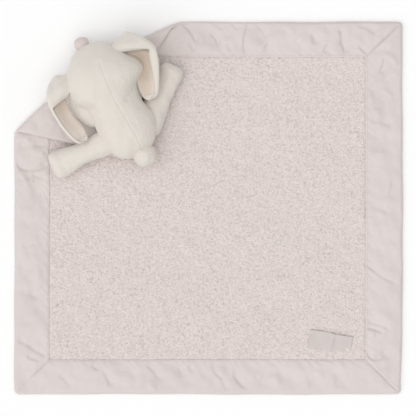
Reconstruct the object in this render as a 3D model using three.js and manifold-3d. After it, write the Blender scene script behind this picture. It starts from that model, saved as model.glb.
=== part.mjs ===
// Comfort blanket with a plush rabbit lying face down on its folded corner. Sizes are in millimetres.
// The blanket lies flat on z = 0. X runs across it, Y towards the edge that the rabbit faces, Z up.
import * as THREE from 'three';
import { mergeVertices } from 'three/addons/utils/BufferGeometryUtils.js';
import Module from 'manifold-3d';

const wasm = await Module();
wasm.setup();

// Clearances between neighbouring layers and pieces.
const sewnGap = 0.3;
const sliver = 0.02;

// Blanket
const blanketWidth = 400;
const blanketDepth = 380;
const borderWidth = 38;
const cornerRadius = 5;
const clothThickness = 3.4;
const satinThickness = 0.7;
const pileInset = sewnGap;
const hemThickness = clothThickness - 2 * (satinThickness + sewnGap);

// Folded corner: the crease is an arc that starts on the left edge and ends on the top edge.
const creaseDownLeftEdge = 120.5;
const creaseAlongTopEdge = 183;
const creaseBulge = 13.5;
const foldHollow = 1;
const bendSteps = 6;
const flapStep = 22;
const creaseStep = 11;

// Label, sewn flat on the pile
const labelLength = 49;
const labelWidth = 16.5;
const labelThickness = 0.6;
const labelBuckle = 1.1;
const labelFromRight = 78;
const labelFromBottom = 51.5;
const labelTurn = -6.5;
const labelLongSteps = 14;
const labelWideSteps = 2;

// Rabbit: its own frame has X towards the tail and Y towards its right, with the neck near X = 0.
const rabbitFromLeft = 106.7;
const rabbitFromTop = 85.4;
const rabbitTurn = -60.2;
const plushThickness = 1;

// Head
const headLength = 65.7;
const headHalfWidth = 42;
const headTop = 58;
const headSnoutDrop = 13;
const headWaist = 30;
const headSnoutLength = 8;
const neckPlace = -3;
const neckOverlap = 14;

// Body
const bodyLength = 61.5;
const bodyHalfWidth = 30;
const bodyTop = 47;
const bodyWaist = 27;
const bodyShift = -3.6;
const rumpLength = 10;

// Legs: each swings towards the tail about an upright line at the tail side of its hip.
const legLength = 60;
const legHalfWidth = 12.2;
const legHeight = 20;
const legRootInset = 16;
const footRound = 6;
const legSwing = 40;
const leftLeg = { side: -1, hipShare: 0.5, hipInset: 2.8, heading: -95, footHalfWidth: 16.2, hingeSetBack: 2.5 };
const rightLeg = { side: 1, hipShare: 0.514, hipInset: 3.8, heading: 126, footHalfWidth: 13.6, hingeSetBack: 8.5 };

// Arms, under the head, sewn to the fold
const armLength = 54;
const armHalfWidth = 10.5;
const armHeight = 17.5;
const armRootPastNeck = 13;
const armInset = 10;
const armBow = 9;
const pawRound = 7;

// Ears: each leaf lies back along the side of the head. Near the root its outer half turns up and over to the
// head as a hood; behind the hood the leaf is open and only its edge is rolled. It lifts at the hood's seam.
const earLength = 73.5;
const earReach = 20;
const earBackThickness = 1.8;
const earLiningThickness = 0.8;
const earLayerGap = 0.6;
const earSideRim = 1;
const earTipRim = 4;
const earHoodCurl = 3.8;
const earHoodRise = 1;
const earTipCurl = 1.9;
const earRimTurn = 0.8;
const earSeamInset = 12.5;
const earSeamAbove = 8.6;
const earLongSteps = 24;
const earUnderSteps = 3;
const earCurlSteps = 4;
const earOverSteps = 2;
const earLift = 50;

// Nose and tail
const noseRadius = 7.7;
const noseAhead = 2.3;
const noseShift = -1.3;
const noseBelowWaist = 9;
const tailRadius = 12.3;
const tailBehind = 0.8;
const tailShift = -1.3;
const tailBelowWaist = 1.5;

// Shapes of the soft pieces, as shares of their length and of their greatest size
const headWidthShares = [[0, 0.37], [0.13, 0.52], [0.25, 0.69], [0.36, 0.82], [0.5, 0.94], [0.67, 1],
  [0.8, 0.9], [0.92, 0.68], [1, 0.6], [1.3, 0.5]];
const headTopShares = [[0, 0.62], [0.13, 0.75], [0.36, 0.94], [0.6, 1], [0.8, 0.94], [1, 0.775], [1.3, 0.7]];
const headDropShares = [[0, 1], [0.1, 0.4], [0.3, 0], [1, 0], [1.3, 0]];
const snoutLowShare = 0.5;
const snoutWaistShare = 0.25;
const bodyWidthShares = [[-0.3, 0.7], [0, 0.85], [0.2, 0.93], [0.45, 1], [0.65, 0.98], [0.82, 0.84], [1, 0.62]];
const bodyTopShares = [[-0.3, 0.95], [0, 1], [0.2, 0.97], [0.45, 1], [0.65, 0.96], [0.82, 0.86], [1, 0.7]];
const bodyShiftShares = [[-0.3, 0.8], [0, 0.9], [0.45, 1], [1, 0.3]];
const legShares = [[-0.3, 1.3], [0, 1.2], [0.25, 1.02], [0.5, 0.95], [0.75, 1], [1, 1]];
const footShares = [[-0.3, 0], [0.45, 0], [0.8, 0.75], [1, 1]];
const armShares = [[0, 0.9], [0.4, 1], [0.75, 0.95], [1, 0.85]];
const armBowShares = [[0, -0.9], [0.25, 0.3], [0.55, 1], [0.8, 0.8], [1, 0.3]];

// Each ear's place and its shape: the outer, inner and turned-over edges as shares of the reach
const leftEar = {
  side: -1,
  baseShare: 0.807,
  baseAside: 0,
  belowTop: 23,
  heading: 0,
  seamHeading: 0,
  droop: 1.5,
  rimCurl: 1.9,
  outerShares: [[0, 0.12], [0.065, 0.45], [0.14, 0.7], [0.237, 0.91], [0.388, 0.99], [0.605, 0.965],
    [0.75, 0.85], [0.867, 0.68], [0.95, 0.52], [1, 0.34]],
  innerShares: [[0, -0.2], [0.04, -0.45], [0.08, -0.7], [0.15, -0.75], [0.2, -0.65], [0.3, -0.15],
    [0.36, 0], [0.9, 0], [1, 0.08]],
  overShares: [[0, -0.2], [0.04, -0.45], [0.08, -0.7], [0.15, -0.75], [0.2, -0.65], [0.3, -0.3],
    [0.322, 0], [0.36, 0.8], [0.4, 1], [1, 1]],
};
const rightEar = {
  side: 1,
  baseShare: 0.853,
  baseAside: 3.6,
  belowTop: 23,
  heading: -12,
  seamHeading: -4,
  droop: 2,
  rimCurl: 3,
  outerShares: [[0, 0.05], [0.085, 0.45], [0.19, 0.815], [0.34, 1.135], [0.5, 1.085], [0.73, 0.84],
    [0.87, 0.63], [0.95, 0.46], [1, 0.22]],
  innerShares: [[0, -0.25], [0.04, -0.5], [0.09, -0.82], [0.16, -0.95], [0.24, -0.75], [0.35, -0.4],
    [0.6, -0.32], [0.82, -0.31], [0.95, -0.22], [1, -0.12]],
  overShares: [[0, -0.25], [0.04, -0.5], [0.09, -0.82], [0.16, -0.95], [0.22, -0.75], [0.255, -0.3],
    [0.285, 0.43], [0.336, 0.755], [0.42, 0.73], [0.6, 0.7], [0.8, 0.52], [0.95, 0.25], [1, 0]],
};

const legLowersFromShare = 0.44;
const legDownAtShare = 0.8;
const earFrontShare = 0.12;
const earSeamShare = 0.16;
const earHoodEndShare = 0.25;
const earOpenShare = 0.45;
const rootWidthShare = 1.2;

// Roundness of a soft piece's section: 2 is an ellipse, more is squarer.
const crownPower = 2.1;
const bellyPower = 2.5;
const ringPoints = 20;
const ballSides = 16;
const capSteps = 3;
const spanSteps = 7;
const turnSteps = 5;

// Heights and places that the sizes above set
const foldCentreHeight = clothThickness + foldHollow;
const flapTop = 2 * foldCentreHeight;
const onCloth = clothThickness + sewnGap;
const onFlap = flapTop + sewnGap;
const headFront = neckPlace - headLength;
const bodyEnd = neckPlace + bodyLength;

// Materials
function cloth(color, roughness) {
  return new THREE.MeshStandardMaterial({ color, roughness, metalness: 0 });
}

const pileCloth = cloth(0xdcd1cd, 0.95);
const satin = cloth(0xded3cf, 0.5);
const plush = cloth(0xe4dfd6, 0.95);
const liningSatin = cloth(0xcdbcb0, 0.55);
const pinkPlush = cloth(0xd8c8c6, 0.9);
const filling = cloth(0xf2f0ec, 1);
const labelSatin = cloth(0xd6cdca, 0.6);

// Closed meshes and solids
function closedMesh(points, triangles) {
  const geometry = new THREE.BufferGeometry();
  const numbers = points.flatMap((point) => [point.x, point.y, point.z]);
  geometry.setAttribute('position', new THREE.Float32BufferAttribute(numbers, 3));
  geometry.setIndex(triangles.flat());
  return geometry;
}

function solidOf(geometry) {
  const bare = geometry.clone();
  bare.deleteAttribute('normal');
  bare.deleteAttribute('uv');
  const merged = mergeVertices(bare);
  return new wasm.Manifold(new wasm.Mesh({
    numProp: 3,
    vertProperties: new Float32Array(merged.attributes.position.array),
    triVerts: new Uint32Array(merged.index.array),
  }));
}

function geometryOf(solid) {
  const mesh = solid.getMesh();
  const geometry = new THREE.BufferGeometry();
  geometry.setAttribute('position', new THREE.Float32BufferAttribute(mesh.vertProperties, 3));
  geometry.setIndex(Array.from(mesh.triVerts));
  geometry.computeVertexNormals();
  return geometry;
}

// A cut can leave crumbs and slivers behind: the piece is the largest body, its slivers taken out.
function largestBody(solid) {
  const bodies = solid.decompose();
  return bodies.reduce((best, body) => (body.volume() > best.volume() ? body : best)).simplify(sliver);
}

function without(solid, cutters) {
  return cutters.reduce((rest, cutter) => rest.subtract(cutter), solid);
}

// A smooth run through pairs of place and value
function smoothRun(pairs) {
  const slopes = pairs.map((pair, i) => {
    const before = pairs[Math.max(i - 1, 0)];
    const after = pairs[Math.min(i + 1, pairs.length - 1)];
    return (after[1] - before[1]) / (after[0] - before[0]);
  });
  return (place) => {
    const i = Math.min(Math.max(pairs.findLastIndex((pair) => pair[0] <= place), 0), pairs.length - 2);
    const [start, low] = pairs[i];
    const [end, high] = pairs[i + 1];
    const span = end - start;
    const t = THREE.MathUtils.clamp((place - start) / span, 0, 1);
    const rise = high - low;
    const bend = (slopes[i] * span - rise) * (1 - t) + (rise - slopes[i + 1] * span) * t;
    return low + rise * t + t * (1 - t) * bend;
  };
}

// A flat patch of cloth becomes a slab: top, underside and a wall along each free edge.
function slabOfPatch(places, triangles, toPoint, low, high) {
  const count = places.length;
  const points = [high, low].flatMap((level) => places.map((p) => toPoint(p.x, p.y, level)));
  const edges = new Map();
  for (const [a, b, c] of triangles) {
    for (const [from, to] of [[a, b], [b, c], [c, a]]) {
      if (edges.has(`${to},${from}`)) edges.delete(`${to},${from}`);
      else edges.set(`${from},${to}`, [from, to]);
    }
  }
  const faces = [];
  for (const [a, b, c] of triangles) faces.push([a, b, c], [a + count, c + count, b + count]);
  for (const [from, to] of edges.values()) {
    const outwards = distanceToCentre(places[to]) > distanceToCentre(places[from]);
    const [fromBelow, toBelow] = [from + count, to + count];
    if (outwards) faces.push([from, fromBelow, toBelow], [from, toBelow, to]);
    else faces.push([from, fromBelow, to], [fromBelow, toBelow, to]);
  }
  return closedMesh(points, faces);
}

// Where the crease's arc has its centre
function creaseArc() {
  const start = new THREE.Vector2(-blanketWidth / 2, blanketDepth / 2 - creaseDownLeftEdge);
  const end = new THREE.Vector2(-blanketWidth / 2 + creaseAlongTopEdge, blanketDepth / 2);
  const chord = end.clone().sub(start);
  const radius = (chord.lengthSq() / 4 + creaseBulge ** 2) / (2 * creaseBulge);
  const inward = new THREE.Vector2(chord.y, -chord.x).normalize();
  const middle = start.clone().add(end).multiplyScalar(1 / 2);
  return { centre: middle.addScaledVector(inward, radius - creaseBulge), radius };
}

const crease = creaseArc();
const bendRadius = foldCentreHeight - clothThickness / 2;
const bendLength = Math.PI * bendRadius;

// Where a point of the flat cloth goes once the corner is folded over
function foldedPoint(x, y, height) {
  const out = new THREE.Vector2(x, y).sub(crease.centre);
  const past = out.length() - crease.radius;
  if (past <= 0) return new THREE.Vector3(x, y, height);
  const turn = Math.min(past, bendLength) / bendRadius;
  const reach = (foldCentreHeight - height) * Math.sin(turn) - Math.max(past - bendLength, 0);
  const place = out.setLength(crease.radius + reach).add(crease.centre);
  return new THREE.Vector3(place.x, place.y, foldCentreHeight - (foldCentreHeight - height) * Math.cos(turn));
}

function distanceToCentre(place) {
  return place.distanceTo(crease.centre);
}

// The two places where an arc about the crease's centre enters and leaves an outline
function arcCrossings(outline, radius) {
  const crossings = [];
  outline.forEach((from, i) => {
    const to = outline[(i + 1) % outline.length];
    const inside = distanceToCentre(from) - radius;
    const outside = distanceToCentre(to) - radius;
    if ((inside < 0) === (outside < 0)) return;
    const along = to.clone().sub(from);
    const back = from.clone().sub(crease.centre);
    const half = along.dot(back) / along.lengthSq();
    const root = Math.sqrt(half ** 2 - (back.lengthSq() - radius ** 2) / along.lengthSq());
    const t = inside < 0 ? root - half : -root - half;
    crossings.push({ place: from.clone().addScaledVector(along, t), leaving: inside < 0 });
  });
  const leave = crossings.find((crossing) => crossing.leaving);
  const enter = crossings.find((crossing) => !crossing.leaving);
  return [leave.place, enter.place];
}

// Places along an arc about the crease's centre, both ends included
function arcPlaces([from, to], radius, steps) {
  const start = from.clone().sub(crease.centre).angle();
  const end = to.clone().sub(crease.centre).angle();
  return Array.from({ length: steps + 1 }, (_, i) => {
    const angle = start + ((end - start) * i) / steps;
    return new THREE.Vector2(Math.cos(angle), Math.sin(angle)).multiplyScalar(radius).add(crease.centre);
  });
}

// The arcs that divide the folded part: through the bend, then at each corner of the outline
function foldRadii(outline) {
  const bend = Array.from({ length: bendSteps }, (_, i) => crease.radius + (bendLength * (i + 1)) / bendSteps);
  const edge = bend[bendSteps - 1];
  const corners = outline.map(distanceToCentre).filter((radius) => radius > edge + sewnGap).sort((a, b) => a - b);
  const radii = bend;
  for (const corner of corners) {
    const last = radii[radii.length - 1];
    if (corner - last < sewnGap) continue;
    const steps = Math.ceil((corner - last) / flapStep);
    for (let i = 1; i <= steps; i += 1) radii.push(last + ((corner - last) * i) / steps);
  }
  return radii;
}

// A slab of cloth with this flat outline, folded with the corner
function foldedSlab(outline, low, high) {
  const flapReach = Math.max(...outline.map(distanceToCentre));
  if (flapReach <= crease.radius) {
    const flat = THREE.ShapeUtils.triangulateShape(outline, []);
    return solidOf(slabOfPatch(outline, flat, foldedPoint, low, high));
  }
  const ends = arcCrossings(outline, crease.radius);
  const steps = Math.max(2, Math.ceil(ends[0].distanceTo(ends[1]) / creaseStep));
  const creasePlaces = arcPlaces(ends, crease.radius, steps);
  const isFlat = (place) => distanceToCentre(place) < crease.radius;
  const first = outline.findIndex((place, i) => isFlat(place) && !isFlat(outline.at(i - 1)));
  const flatPart = [...outline.slice(first), ...outline.slice(0, first)].filter(isFlat);
  const places = [...flatPart, ...creasePlaces];
  const triangles = THREE.ShapeUtils.triangulateShape(places, []);
  let row = flatPart.length;
  for (const radius of foldRadii(outline)) {
    const next = places.length;
    if (radius > flapReach - sewnGap) {
      places.push(outline.find((place) => distanceToCentre(place) === flapReach));
      for (let i = 0; i < steps; i += 1) triangles.push([row + i, next, row + i + 1]);
      break;
    }
    places.push(...arcPlaces(arcCrossings(outline, radius), radius, steps));
    for (let i = 0; i < steps; i += 1) {
      triangles.push([row + i, next + i, next + i + 1], [row + i, next + i + 1, row + i + 1]);
    }
    row = next;
  }
  return solidOf(slabOfPatch(places, triangles, foldedPoint, low, high));
}

// Blanket outlines. A corner's sign pair says which corner of the blanket it is.
const corners = [[-1, -1], [1, -1], [1, 1], [-1, 1]];
const cornerSteps = 4;

// Half of a rounded corner: from the mitre to where the straight edge starts, or back
function roundedHalf([signX, signY], inset, towardsX) {
  const radius = cornerRadius - inset;
  const centreX = signX * (blanketWidth / 2 - cornerRadius);
  const centreY = signY * (blanketDepth / 2 - cornerRadius);
  return Array.from({ length: cornerSteps / 2 + 1 }, (_, i) => {
    const lean = (Math.PI / 4) * (1 + (2 * i) / cornerSteps);
    const along = radius * Math.sin(lean);
    const aside = radius * Math.cos(lean);
    const [x, y] = towardsX ? [aside, along] : [along, aside];
    return new THREE.Vector2(centreX + signX * x, centreY + signY * y);
  });
}

// The whole blanket, drawn in from its edge by the inset
function blanketOutline(inset) {
  return corners.flatMap((corner) => {
    const besideX = roundedHalf(corner, inset, true);
    const besideY = roundedHalf(corner, inset, false);
    const turnsFromY = corner[0] === corner[1];
    const first = turnsFromY ? besideY : besideX;
    const second = turnsFromY ? besideX : besideY;
    return [...first.reverse(), ...second.slice(1)];
  });
}

function rectangle(halfWidth, halfDepth) {
  return corners.map(([x, y]) => new THREE.Vector2(x * halfWidth, y * halfDepth));
}

// One binding strip between two corners, mitred at both ends
function stripOutline(side, inset, innerEdge) {
  const first = corners[side];
  const second = corners[(side + 1) % corners.length];
  const alongX = first[1] === second[1];
  const mitreShift = sewnGap / Math.SQRT2;
  const innerCorner = ([x, y]) => new THREE.Vector2(
    x * (blanketWidth / 2 - innerEdge),
    y * (blanketDepth / 2 - innerEdge),
  );
  const outer = [...roundedHalf(first, inset, alongX), ...roundedHalf(second, inset, alongX).reverse()];
  const outline = [...outer, innerCorner(second), innerCorner(first)];
  const middle = outline.length / 2;
  return outline.map((place, i) => {
    const towards = (i < middle - 1 || i === outline.length - 1) ? second : first;
    const end = towards === second ? first : second;
    const step = alongX ? new THREE.Vector2(towards[0] - end[0], 0) : new THREE.Vector2(0, towards[1] - end[1]);
    const atMitre = i === 0 || i === outline.length - 3 || i >= outline.length - 2;
    return atMitre ? place.clone().addScaledVector(step.normalize(), mitreShift) : place;
  });
}

// Satin folded round the hem: a strip with a slot along its inner edge
function bindingStrip(side) {
  const strip = foldedSlab(stripOutline(side, 0, borderWidth), 0, clothThickness);
  const slotOutline = blanketOutline(satinThickness);
  const slot = foldedSlab(slotOutline, satinThickness, clothThickness - satinThickness);
  return strip.subtract(slot);
}

// The pile, with a thin hem that runs out into the binding
function centrePanel() {
  const inner = borderWidth + pileInset;
  const pile = foldedSlab(rectangle(blanketWidth / 2 - inner, blanketDepth / 2 - inner), 0, clothThickness);
  const hemLow = satinThickness + sewnGap;
  const hem = foldedSlab(blanketOutline(satinThickness + sewnGap), hemLow, hemLow + hemThickness);
  return pile.add(hem);
}

// A grid of places across a surface, made into a slab between two levels
function gridSlab(rows, columns, toPoint, low, high) {
  const places = [];
  const triangles = [];
  for (let i = 0; i <= rows; i += 1) {
    for (let j = 0; j <= columns; j += 1) places.push(new THREE.Vector2(i / rows, j / columns));
  }
  for (let i = 0; i < rows; i += 1) {
    for (let j = 0; j < columns; j += 1) {
      const a = i * (columns + 1) + j;
      const b = a + columns + 1;
      triangles.push([a, b, b + 1], [a, b + 1, a + 1]);
    }
  }
  return slabOfPatch(places, triangles, toPoint, low, high);
}

// The label, with one soft buckle across it
function wovenLabel() {
  const buckle = (along) => (labelBuckle / 2) * (1 - Math.cos(2 * Math.PI * along));
  const toPoint = (along, across, level) => new THREE.Vector3(
    (along - 1 / 2) * labelLength,
    (across - 1 / 2) * labelWidth,
    level + buckle(along),
  );
  return gridSlab(labelLongSteps, labelWideSteps, toPoint, 0, labelThickness);
}

// Soft pieces. A station is one section: its place, sideways shift, half width and heights.
function ringOf(station, cap) {
  const pole = station.waist;
  return Array.from({ length: ringPoints }, (_, i) => {
    const turn = (2 * Math.PI * i) / ringPoints;
    const cos = Math.cos(turn);
    const sin = Math.sin(turn);
    const power = 2 / (sin < 0 ? bellyPower : crownPower);
    const aside = Math.sign(cos) * Math.abs(cos) ** power * station.halfWidth * cap;
    const crest = sin < 0 ? station.low : station.high;
    const height = pole + (crest - pole) * cap * Math.abs(sin) ** power;
    return new THREE.Vector3(station.place, station.shift + aside, height);
  });
}

// Places of the stations: close together in the two rounded ends, even between them
function stationPlaces({ from, to, startRound, endRound }) {
  const places = [];
  for (let i = 1; i <= capSteps; i += 1) {
    const turn = (Math.PI / 2) * (i / capSteps);
    places.push({ place: from + startRound * (1 - Math.cos(turn)), cap: Math.sin(turn) });
  }
  const start = from + startRound;
  const end = to - endRound;
  for (let i = 1; i < spanSteps; i += 1) places.push({ place: start + ((end - start) * i) / spanSteps, cap: 1 });
  for (let i = capSteps; i >= 1; i -= 1) {
    const turn = (Math.PI / 2) * (i / capSteps);
    places.push({ place: to - endRound * (1 - Math.cos(turn)), cap: Math.sin(turn) });
  }
  return places;
}

// A closed rounded form through its stations
function softForm(form) {
  const rings = stationPlaces(form).map(({ place, cap }) => ringOf(form.station(place), cap));
  const ends = [form.from, form.to].map((place) => {
    const { shift, waist } = form.station(place);
    return new THREE.Vector3(place, shift, waist);
  });
  const points = [ends[0], ...rings.flat(), ends[1]];
  const last = points.length - 1;
  const triangles = [];
  for (let i = 0; i < ringPoints; i += 1) {
    const next = (i + 1) % ringPoints;
    triangles.push([0, 1 + next, 1 + i], [last, last - ringPoints + i, last - ringPoints + next]);
    for (let ring = 0; ring < rings.length - 1; ring += 1) {
      const a = 1 + ring * ringPoints;
      const b = a + ringPoints;
      triangles.push([a + i, a + next, b + next], [a + i, b + next, b + i]);
    }
  }
  return closedMesh(points, triangles);
}

// The form grown by a distance, or shrunk by a negative one, along its own normals
function grown(geometry, distance) {
  const result = geometry.clone();
  result.computeVertexNormals();
  const { position, normal } = result.attributes;
  const point = new THREE.Vector3();
  const direction = new THREE.Vector3();
  for (let i = 0; i < position.count; i += 1) {
    point.fromBufferAttribute(position, i);
    point.addScaledVector(direction.fromBufferAttribute(normal, i), distance);
    position.setXYZ(i, point.x, point.y, point.z);
  }
  return result;
}

// A cover with its stuffing. It is closed towards its neighbour and open at its root.
function stuffedPiece(geometry, roomAtRoot, roomForNeighbour) {
  const cutAt = (wall, rootGap) => {
    const cutters = [...roomAtRoot(rootGap), ...roomForNeighbour(sewnGap + wall)];
    return largestBody(without(solidOf(grown(geometry, -wall)), cutters));
  };
  return {
    cover: largestBody(cutAt(0, sewnGap).subtract(cutAt(plushThickness, 0))),
    stuffing: cutAt(plushThickness + sewnGap, 2 * sewnGap),
  };
}

const noNeighbour = () => [];

function roomFor(geometry) {
  return (gap) => [solidOf(grown(geometry, gap))];
}

// A turn about a line through a place
function turnAbout({ place, axis }, degrees) {
  const { x, y, z } = place;
  const turn = new THREE.Matrix4().makeRotationAxis(axis, THREE.MathUtils.degToRad(degrees));
  const back = new THREE.Matrix4().makeTranslation(-x, -y, -z);
  return new THREE.Matrix4().makeTranslation(x, y, z).multiply(turn).multiply(back);
}

// The room that a carrier needs beside a piece that turns on it: the carrier, as the piece meets it
function roomToTurn(carrier, hinge, range) {
  return (gap) => Array.from({ length: turnSteps + 1 }, (_, i) => {
    const turned = grown(carrier, gap).applyMatrix4(turnAbout(hinge, (-range * i) / turnSteps));
    return solidOf(turned);
  });
}

// Half of space beyond the neck seam: ahead of it for the body, behind it for the head
function beyondNeck(side) {
  const size = 2 * (headLength + bodyLength);
  return (gap) => {
    const box = new THREE.BoxGeometry(size, size, size);
    box.translate(neckPlace + side * (size / 2 - gap / 2), 0, 0);
    return [solidOf(box)];
  };
}

function headForm() {
  const width = smoothRun(headWidthShares);
  const top = smoothRun(headTopShares);
  const drop = smoothRun(headDropShares);
  return softForm({
    from: headFront,
    to: neckPlace + neckOverlap,
    startRound: headSnoutLength,
    endRound: neckOverlap / 2,
    station(place) {
      const share = (place - headFront) / headLength;
      const snout = headSnoutDrop * drop(share);
      const low = onFlap + snout * snoutLowShare;
      const high = onFlap + (headTop - onFlap) * top(share);
      const waist = headWaist - snout * snoutWaistShare;
      return { place, shift: 0, halfWidth: headHalfWidth * width(share), low, high, waist };
    },
  });
}

function bodyForm() {
  const width = smoothRun(bodyWidthShares);
  const top = smoothRun(bodyTopShares);
  const shift = smoothRun(bodyShiftShares);
  return softForm({
    from: neckPlace - neckOverlap,
    to: bodyEnd,
    startRound: neckOverlap / 2,
    endRound: rumpLength,
    station(place) {
      const share = (place - neckPlace) / bodyLength;
      const halfWidth = bodyHalfWidth * width(share);
      const high = onFlap + (bodyTop - onFlap) * top(share);
      return { place, shift: bodyShift * shift(share), halfWidth, low: onFlap, high, waist: bodyWaist };
    },
  });
}

function hipOf(leg) {
  const aside = bodyShift + leg.side * (bodyHalfWidth - leg.hipInset);
  return new THREE.Vector3(neckPlace + bodyLength * leg.hipShare, aside, 0);
}

function headingOf(piece) {
  const turn = THREE.MathUtils.degToRad(piece.heading);
  return new THREE.Vector3(Math.cos(turn), Math.sin(turn), 0);
}

// The upright line at the tail side of a leg's root
function legHinge(leg) {
  const axis = new THREE.Vector3(0, 0, -leg.side);
  const towardsTail = axis.clone().cross(headingOf(leg));
  const place = hipOf(leg).addScaledVector(headingOf(leg), -leg.hingeSetBack);
  return { place: place.addScaledVector(towardsTail, legHalfWidth * rootWidthShare), axis };
}

// A leg along its own X, its sole out, moved to its hip
function legForm(leg, rootRest) {
  const thigh = smoothRun(legShares);
  const foot = smoothRun(footShares);
  const geometry = softForm({
    from: -legRootInset,
    to: legLength,
    startRound: legRootInset / 2,
    endRound: footRound,
    station(place) {
      const share = place / legLength;
      const lowered = THREE.MathUtils.smoothstep(share, legLowersFromShare, legDownAtShare);
      const low = onCloth + rootRest * (1 - lowered);
      const high = low + legHeight * thigh(share);
      const halfWidth = legHalfWidth * thigh(share) + (leg.footHalfWidth - legHalfWidth) * foot(share);
      return { place, shift: 0, halfWidth, low, high, waist: (low + high) / 2 };
    },
  });
  geometry.rotateZ(THREE.MathUtils.degToRad(leg.heading));
  return geometry.translate(...hipOf(leg).toArray());
}

// An arm lies forwards beside the middle of the body; side is 1 on the rabbit's right.
function armForm(side) {
  const width = smoothRun(armShares);
  const bow = smoothRun(armBowShares);
  const rootPlace = neckPlace + armRootPastNeck;
  return softForm({
    from: rootPlace - armLength,
    to: rootPlace,
    startRound: pawRound,
    endRound: pawRound,
    station(place) {
      const share = (rootPlace - place) / armLength;
      const halfWidth = armHalfWidth * width(share);
      const high = onFlap + armHeight * width(share);
      const shift = bodyShift / 2 + side * (bodyHalfWidth - armInset + armBow * bow(share));
      return { place, shift, halfWidth, low: onFlap, high, waist: (onFlap + high) / 2 };
    },
  });
}

function earBase(ear) {
  const aside = ear.side * (headHalfWidth + ear.baseAside);
  return new THREE.Vector3(neckPlace - headLength * ear.baseShare, aside, headTop - ear.belowTop);
}

// Level, square to the ear's heading and away from the head
function outwardsOf(ear) {
  return new THREE.Vector3(0, 0, ear.side).cross(headingOf(ear));
}

// The line of the seam along the head, with the turn that lifts the ear's outer edge
function earHinge(ear) {
  const place = earBase(ear).addScaledVector(outwardsOf(ear), -earSeamInset);
  place.addScaledVector(headingOf(ear), earLength * earSeamShare);
  place.z += earSeamAbove;
  return { place, axis: headingOf({ heading: ear.seamHeading }).multiplyScalar(ear.side) };
}

// The radius of the curled edge: small at the front, full in the hood, then that of the rolled rim
function earCurl(ear, along) {
  const { lerp, smoothstep } = THREE.MathUtils;
  const rim = lerp(ear.rimCurl, earTipCurl, smoothstep(along, earOpenShare, 1));
  const behindFront = Math.min(along / earFrontShare, 1);
  const full = lerp(earHoodCurl, rim, smoothstep(along, earHoodEndShare, earOpenShare));
  return lerp(earTipCurl, full, Math.sqrt(behindFront * (2 - behindFront)));
}

// A point of an ear: across runs under the leaf, round its curled edge and back over it.
function earPoint(ear, along, across, level, rim) {
  const { clamp, lerp } = THREE.MathUtils;
  const share = (shares) => earReach * smoothRun(shares)(along);
  const curl = earCurl(ear, along);
  const outer = share(ear.outerShares) - earBackThickness - curl;
  const over = Math.min(share(ear.overShares), outer - earRimTurn);
  const step = across * (earUnderSteps + earCurlSteps + earOverSteps);
  const turn = Math.PI * clamp((step - earUnderSteps) / earCurlSteps, 0, 1);
  const back = Math.max(step - earUnderSteps - earCurlSteps, 0) / earOverSteps;
  const under = lerp(share(ear.innerShares) + rim, outer, Math.min(step / earUnderSteps, 1));
  const overRun = (outer - over) * back;
  const place = earBase(ear).addScaledVector(headingOf(ear), along * earLength);
  place.addScaledVector(outwardsOf(ear), under + (curl + level) * Math.sin(turn) - overRun);
  place.z += curl - (curl + level) * Math.cos(turn) + earHoodRise * (overRun / earReach) ** 2;
  place.z -= ear.droop * along ** 2;
  return place;
}

// One layer of an ear: as many steps across as it has, and a rim left free at its ends and its inner edge
function earLayer(ear, { low, high, steps, endRim, sideRim }) {
  const reachShare = steps / (earUnderSteps + earCurlSteps + earOverSteps);
  const lengthShare = (earLength - 2 * endRim) / earLength;
  const toPoint = (along, across, level) => {
    const place = 1 / 2 + (along - 1 / 2) * lengthShare;
    return earPoint(ear, place, across * reachShare, level, sideRim);
  };
  const geometry = gridSlab(earLongSteps, steps, toPoint, low, high);
  if (ear.side > 0) geometry.setIndex(Array.from(geometry.index.array).reverse());
  return geometry;
}

const earBackLayer = {
  low: 0,
  high: earBackThickness,
  steps: earUnderSteps + earCurlSteps + earOverSteps,
  endRim: 0,
  sideRim: 0,
};
const earLiningLayer = {
  low: -earLayerGap - earLiningThickness,
  high: -earLayerGap,
  steps: earUnderSteps + earCurlSteps / 2,
  endRim: earTipRim,
  sideRim: earSideRim,
};

// One layer of an ear, cut back where the head would touch it as the ear lifts
function earPiece(ear, layer) {
  const room = roomToTurn(head, earHinge(ear), earLift)(sewnGap);
  return largestBody(without(solidOf(earLayer(ear, layer)), room));
}

function ball(radius, x, y, height) {
  return new THREE.SphereGeometry(radius, ballSides, ballSides / 2).rotateX(Math.PI / 2).translate(x, y, height);
}

// Assembly
const lovey = new THREE.Group();
const rabbit = new THREE.Group();
rabbit.position.set(rabbitFromLeft - blanketWidth / 2, blanketDepth / 2 - rabbitFromTop, 0);
rabbit.rotation.z = THREE.MathUtils.degToRad(rabbitTurn);
lovey.add(rabbit);

function place(parent, name, solid, material) {
  const mesh = new THREE.Mesh(geometryOf(solid), material);
  mesh.name = name;
  parent.add(mesh);
  return mesh;
}

function placeStuffed(name, piece) {
  place(rabbit, `${name}_cover`, piece.cover, plush);
  place(rabbit, `${name}_stuffing`, piece.stuffing, filling);
}

place(lovey, 'center_panel', centrePanel(), pileCloth);
['border_bottom', 'border_right', 'border_top', 'border_left'].forEach((name, side) => {
  place(lovey, name, bindingStrip(side), satin);
});
const label = place(lovey, 'woven_label', solidOf(wovenLabel()), labelSatin);
label.position.set(blanketWidth / 2 - labelFromRight, labelFromBottom - blanketDepth / 2, onCloth);
label.rotation.z = THREE.MathUtils.degToRad(labelTurn);

const head = headForm();
const body = bodyForm();
placeStuffed('head', stuffedPiece(head, beyondNeck(1), noNeighbour));
placeStuffed('body', stuffedPiece(body, beyondNeck(-1), noNeighbour));

function placeLeg(name, leg, rootRest) {
  placeStuffed(name, stuffedPiece(legForm(leg, rootRest), roomToTurn(body, legHinge(leg), legSwing), noNeighbour));
}

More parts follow.
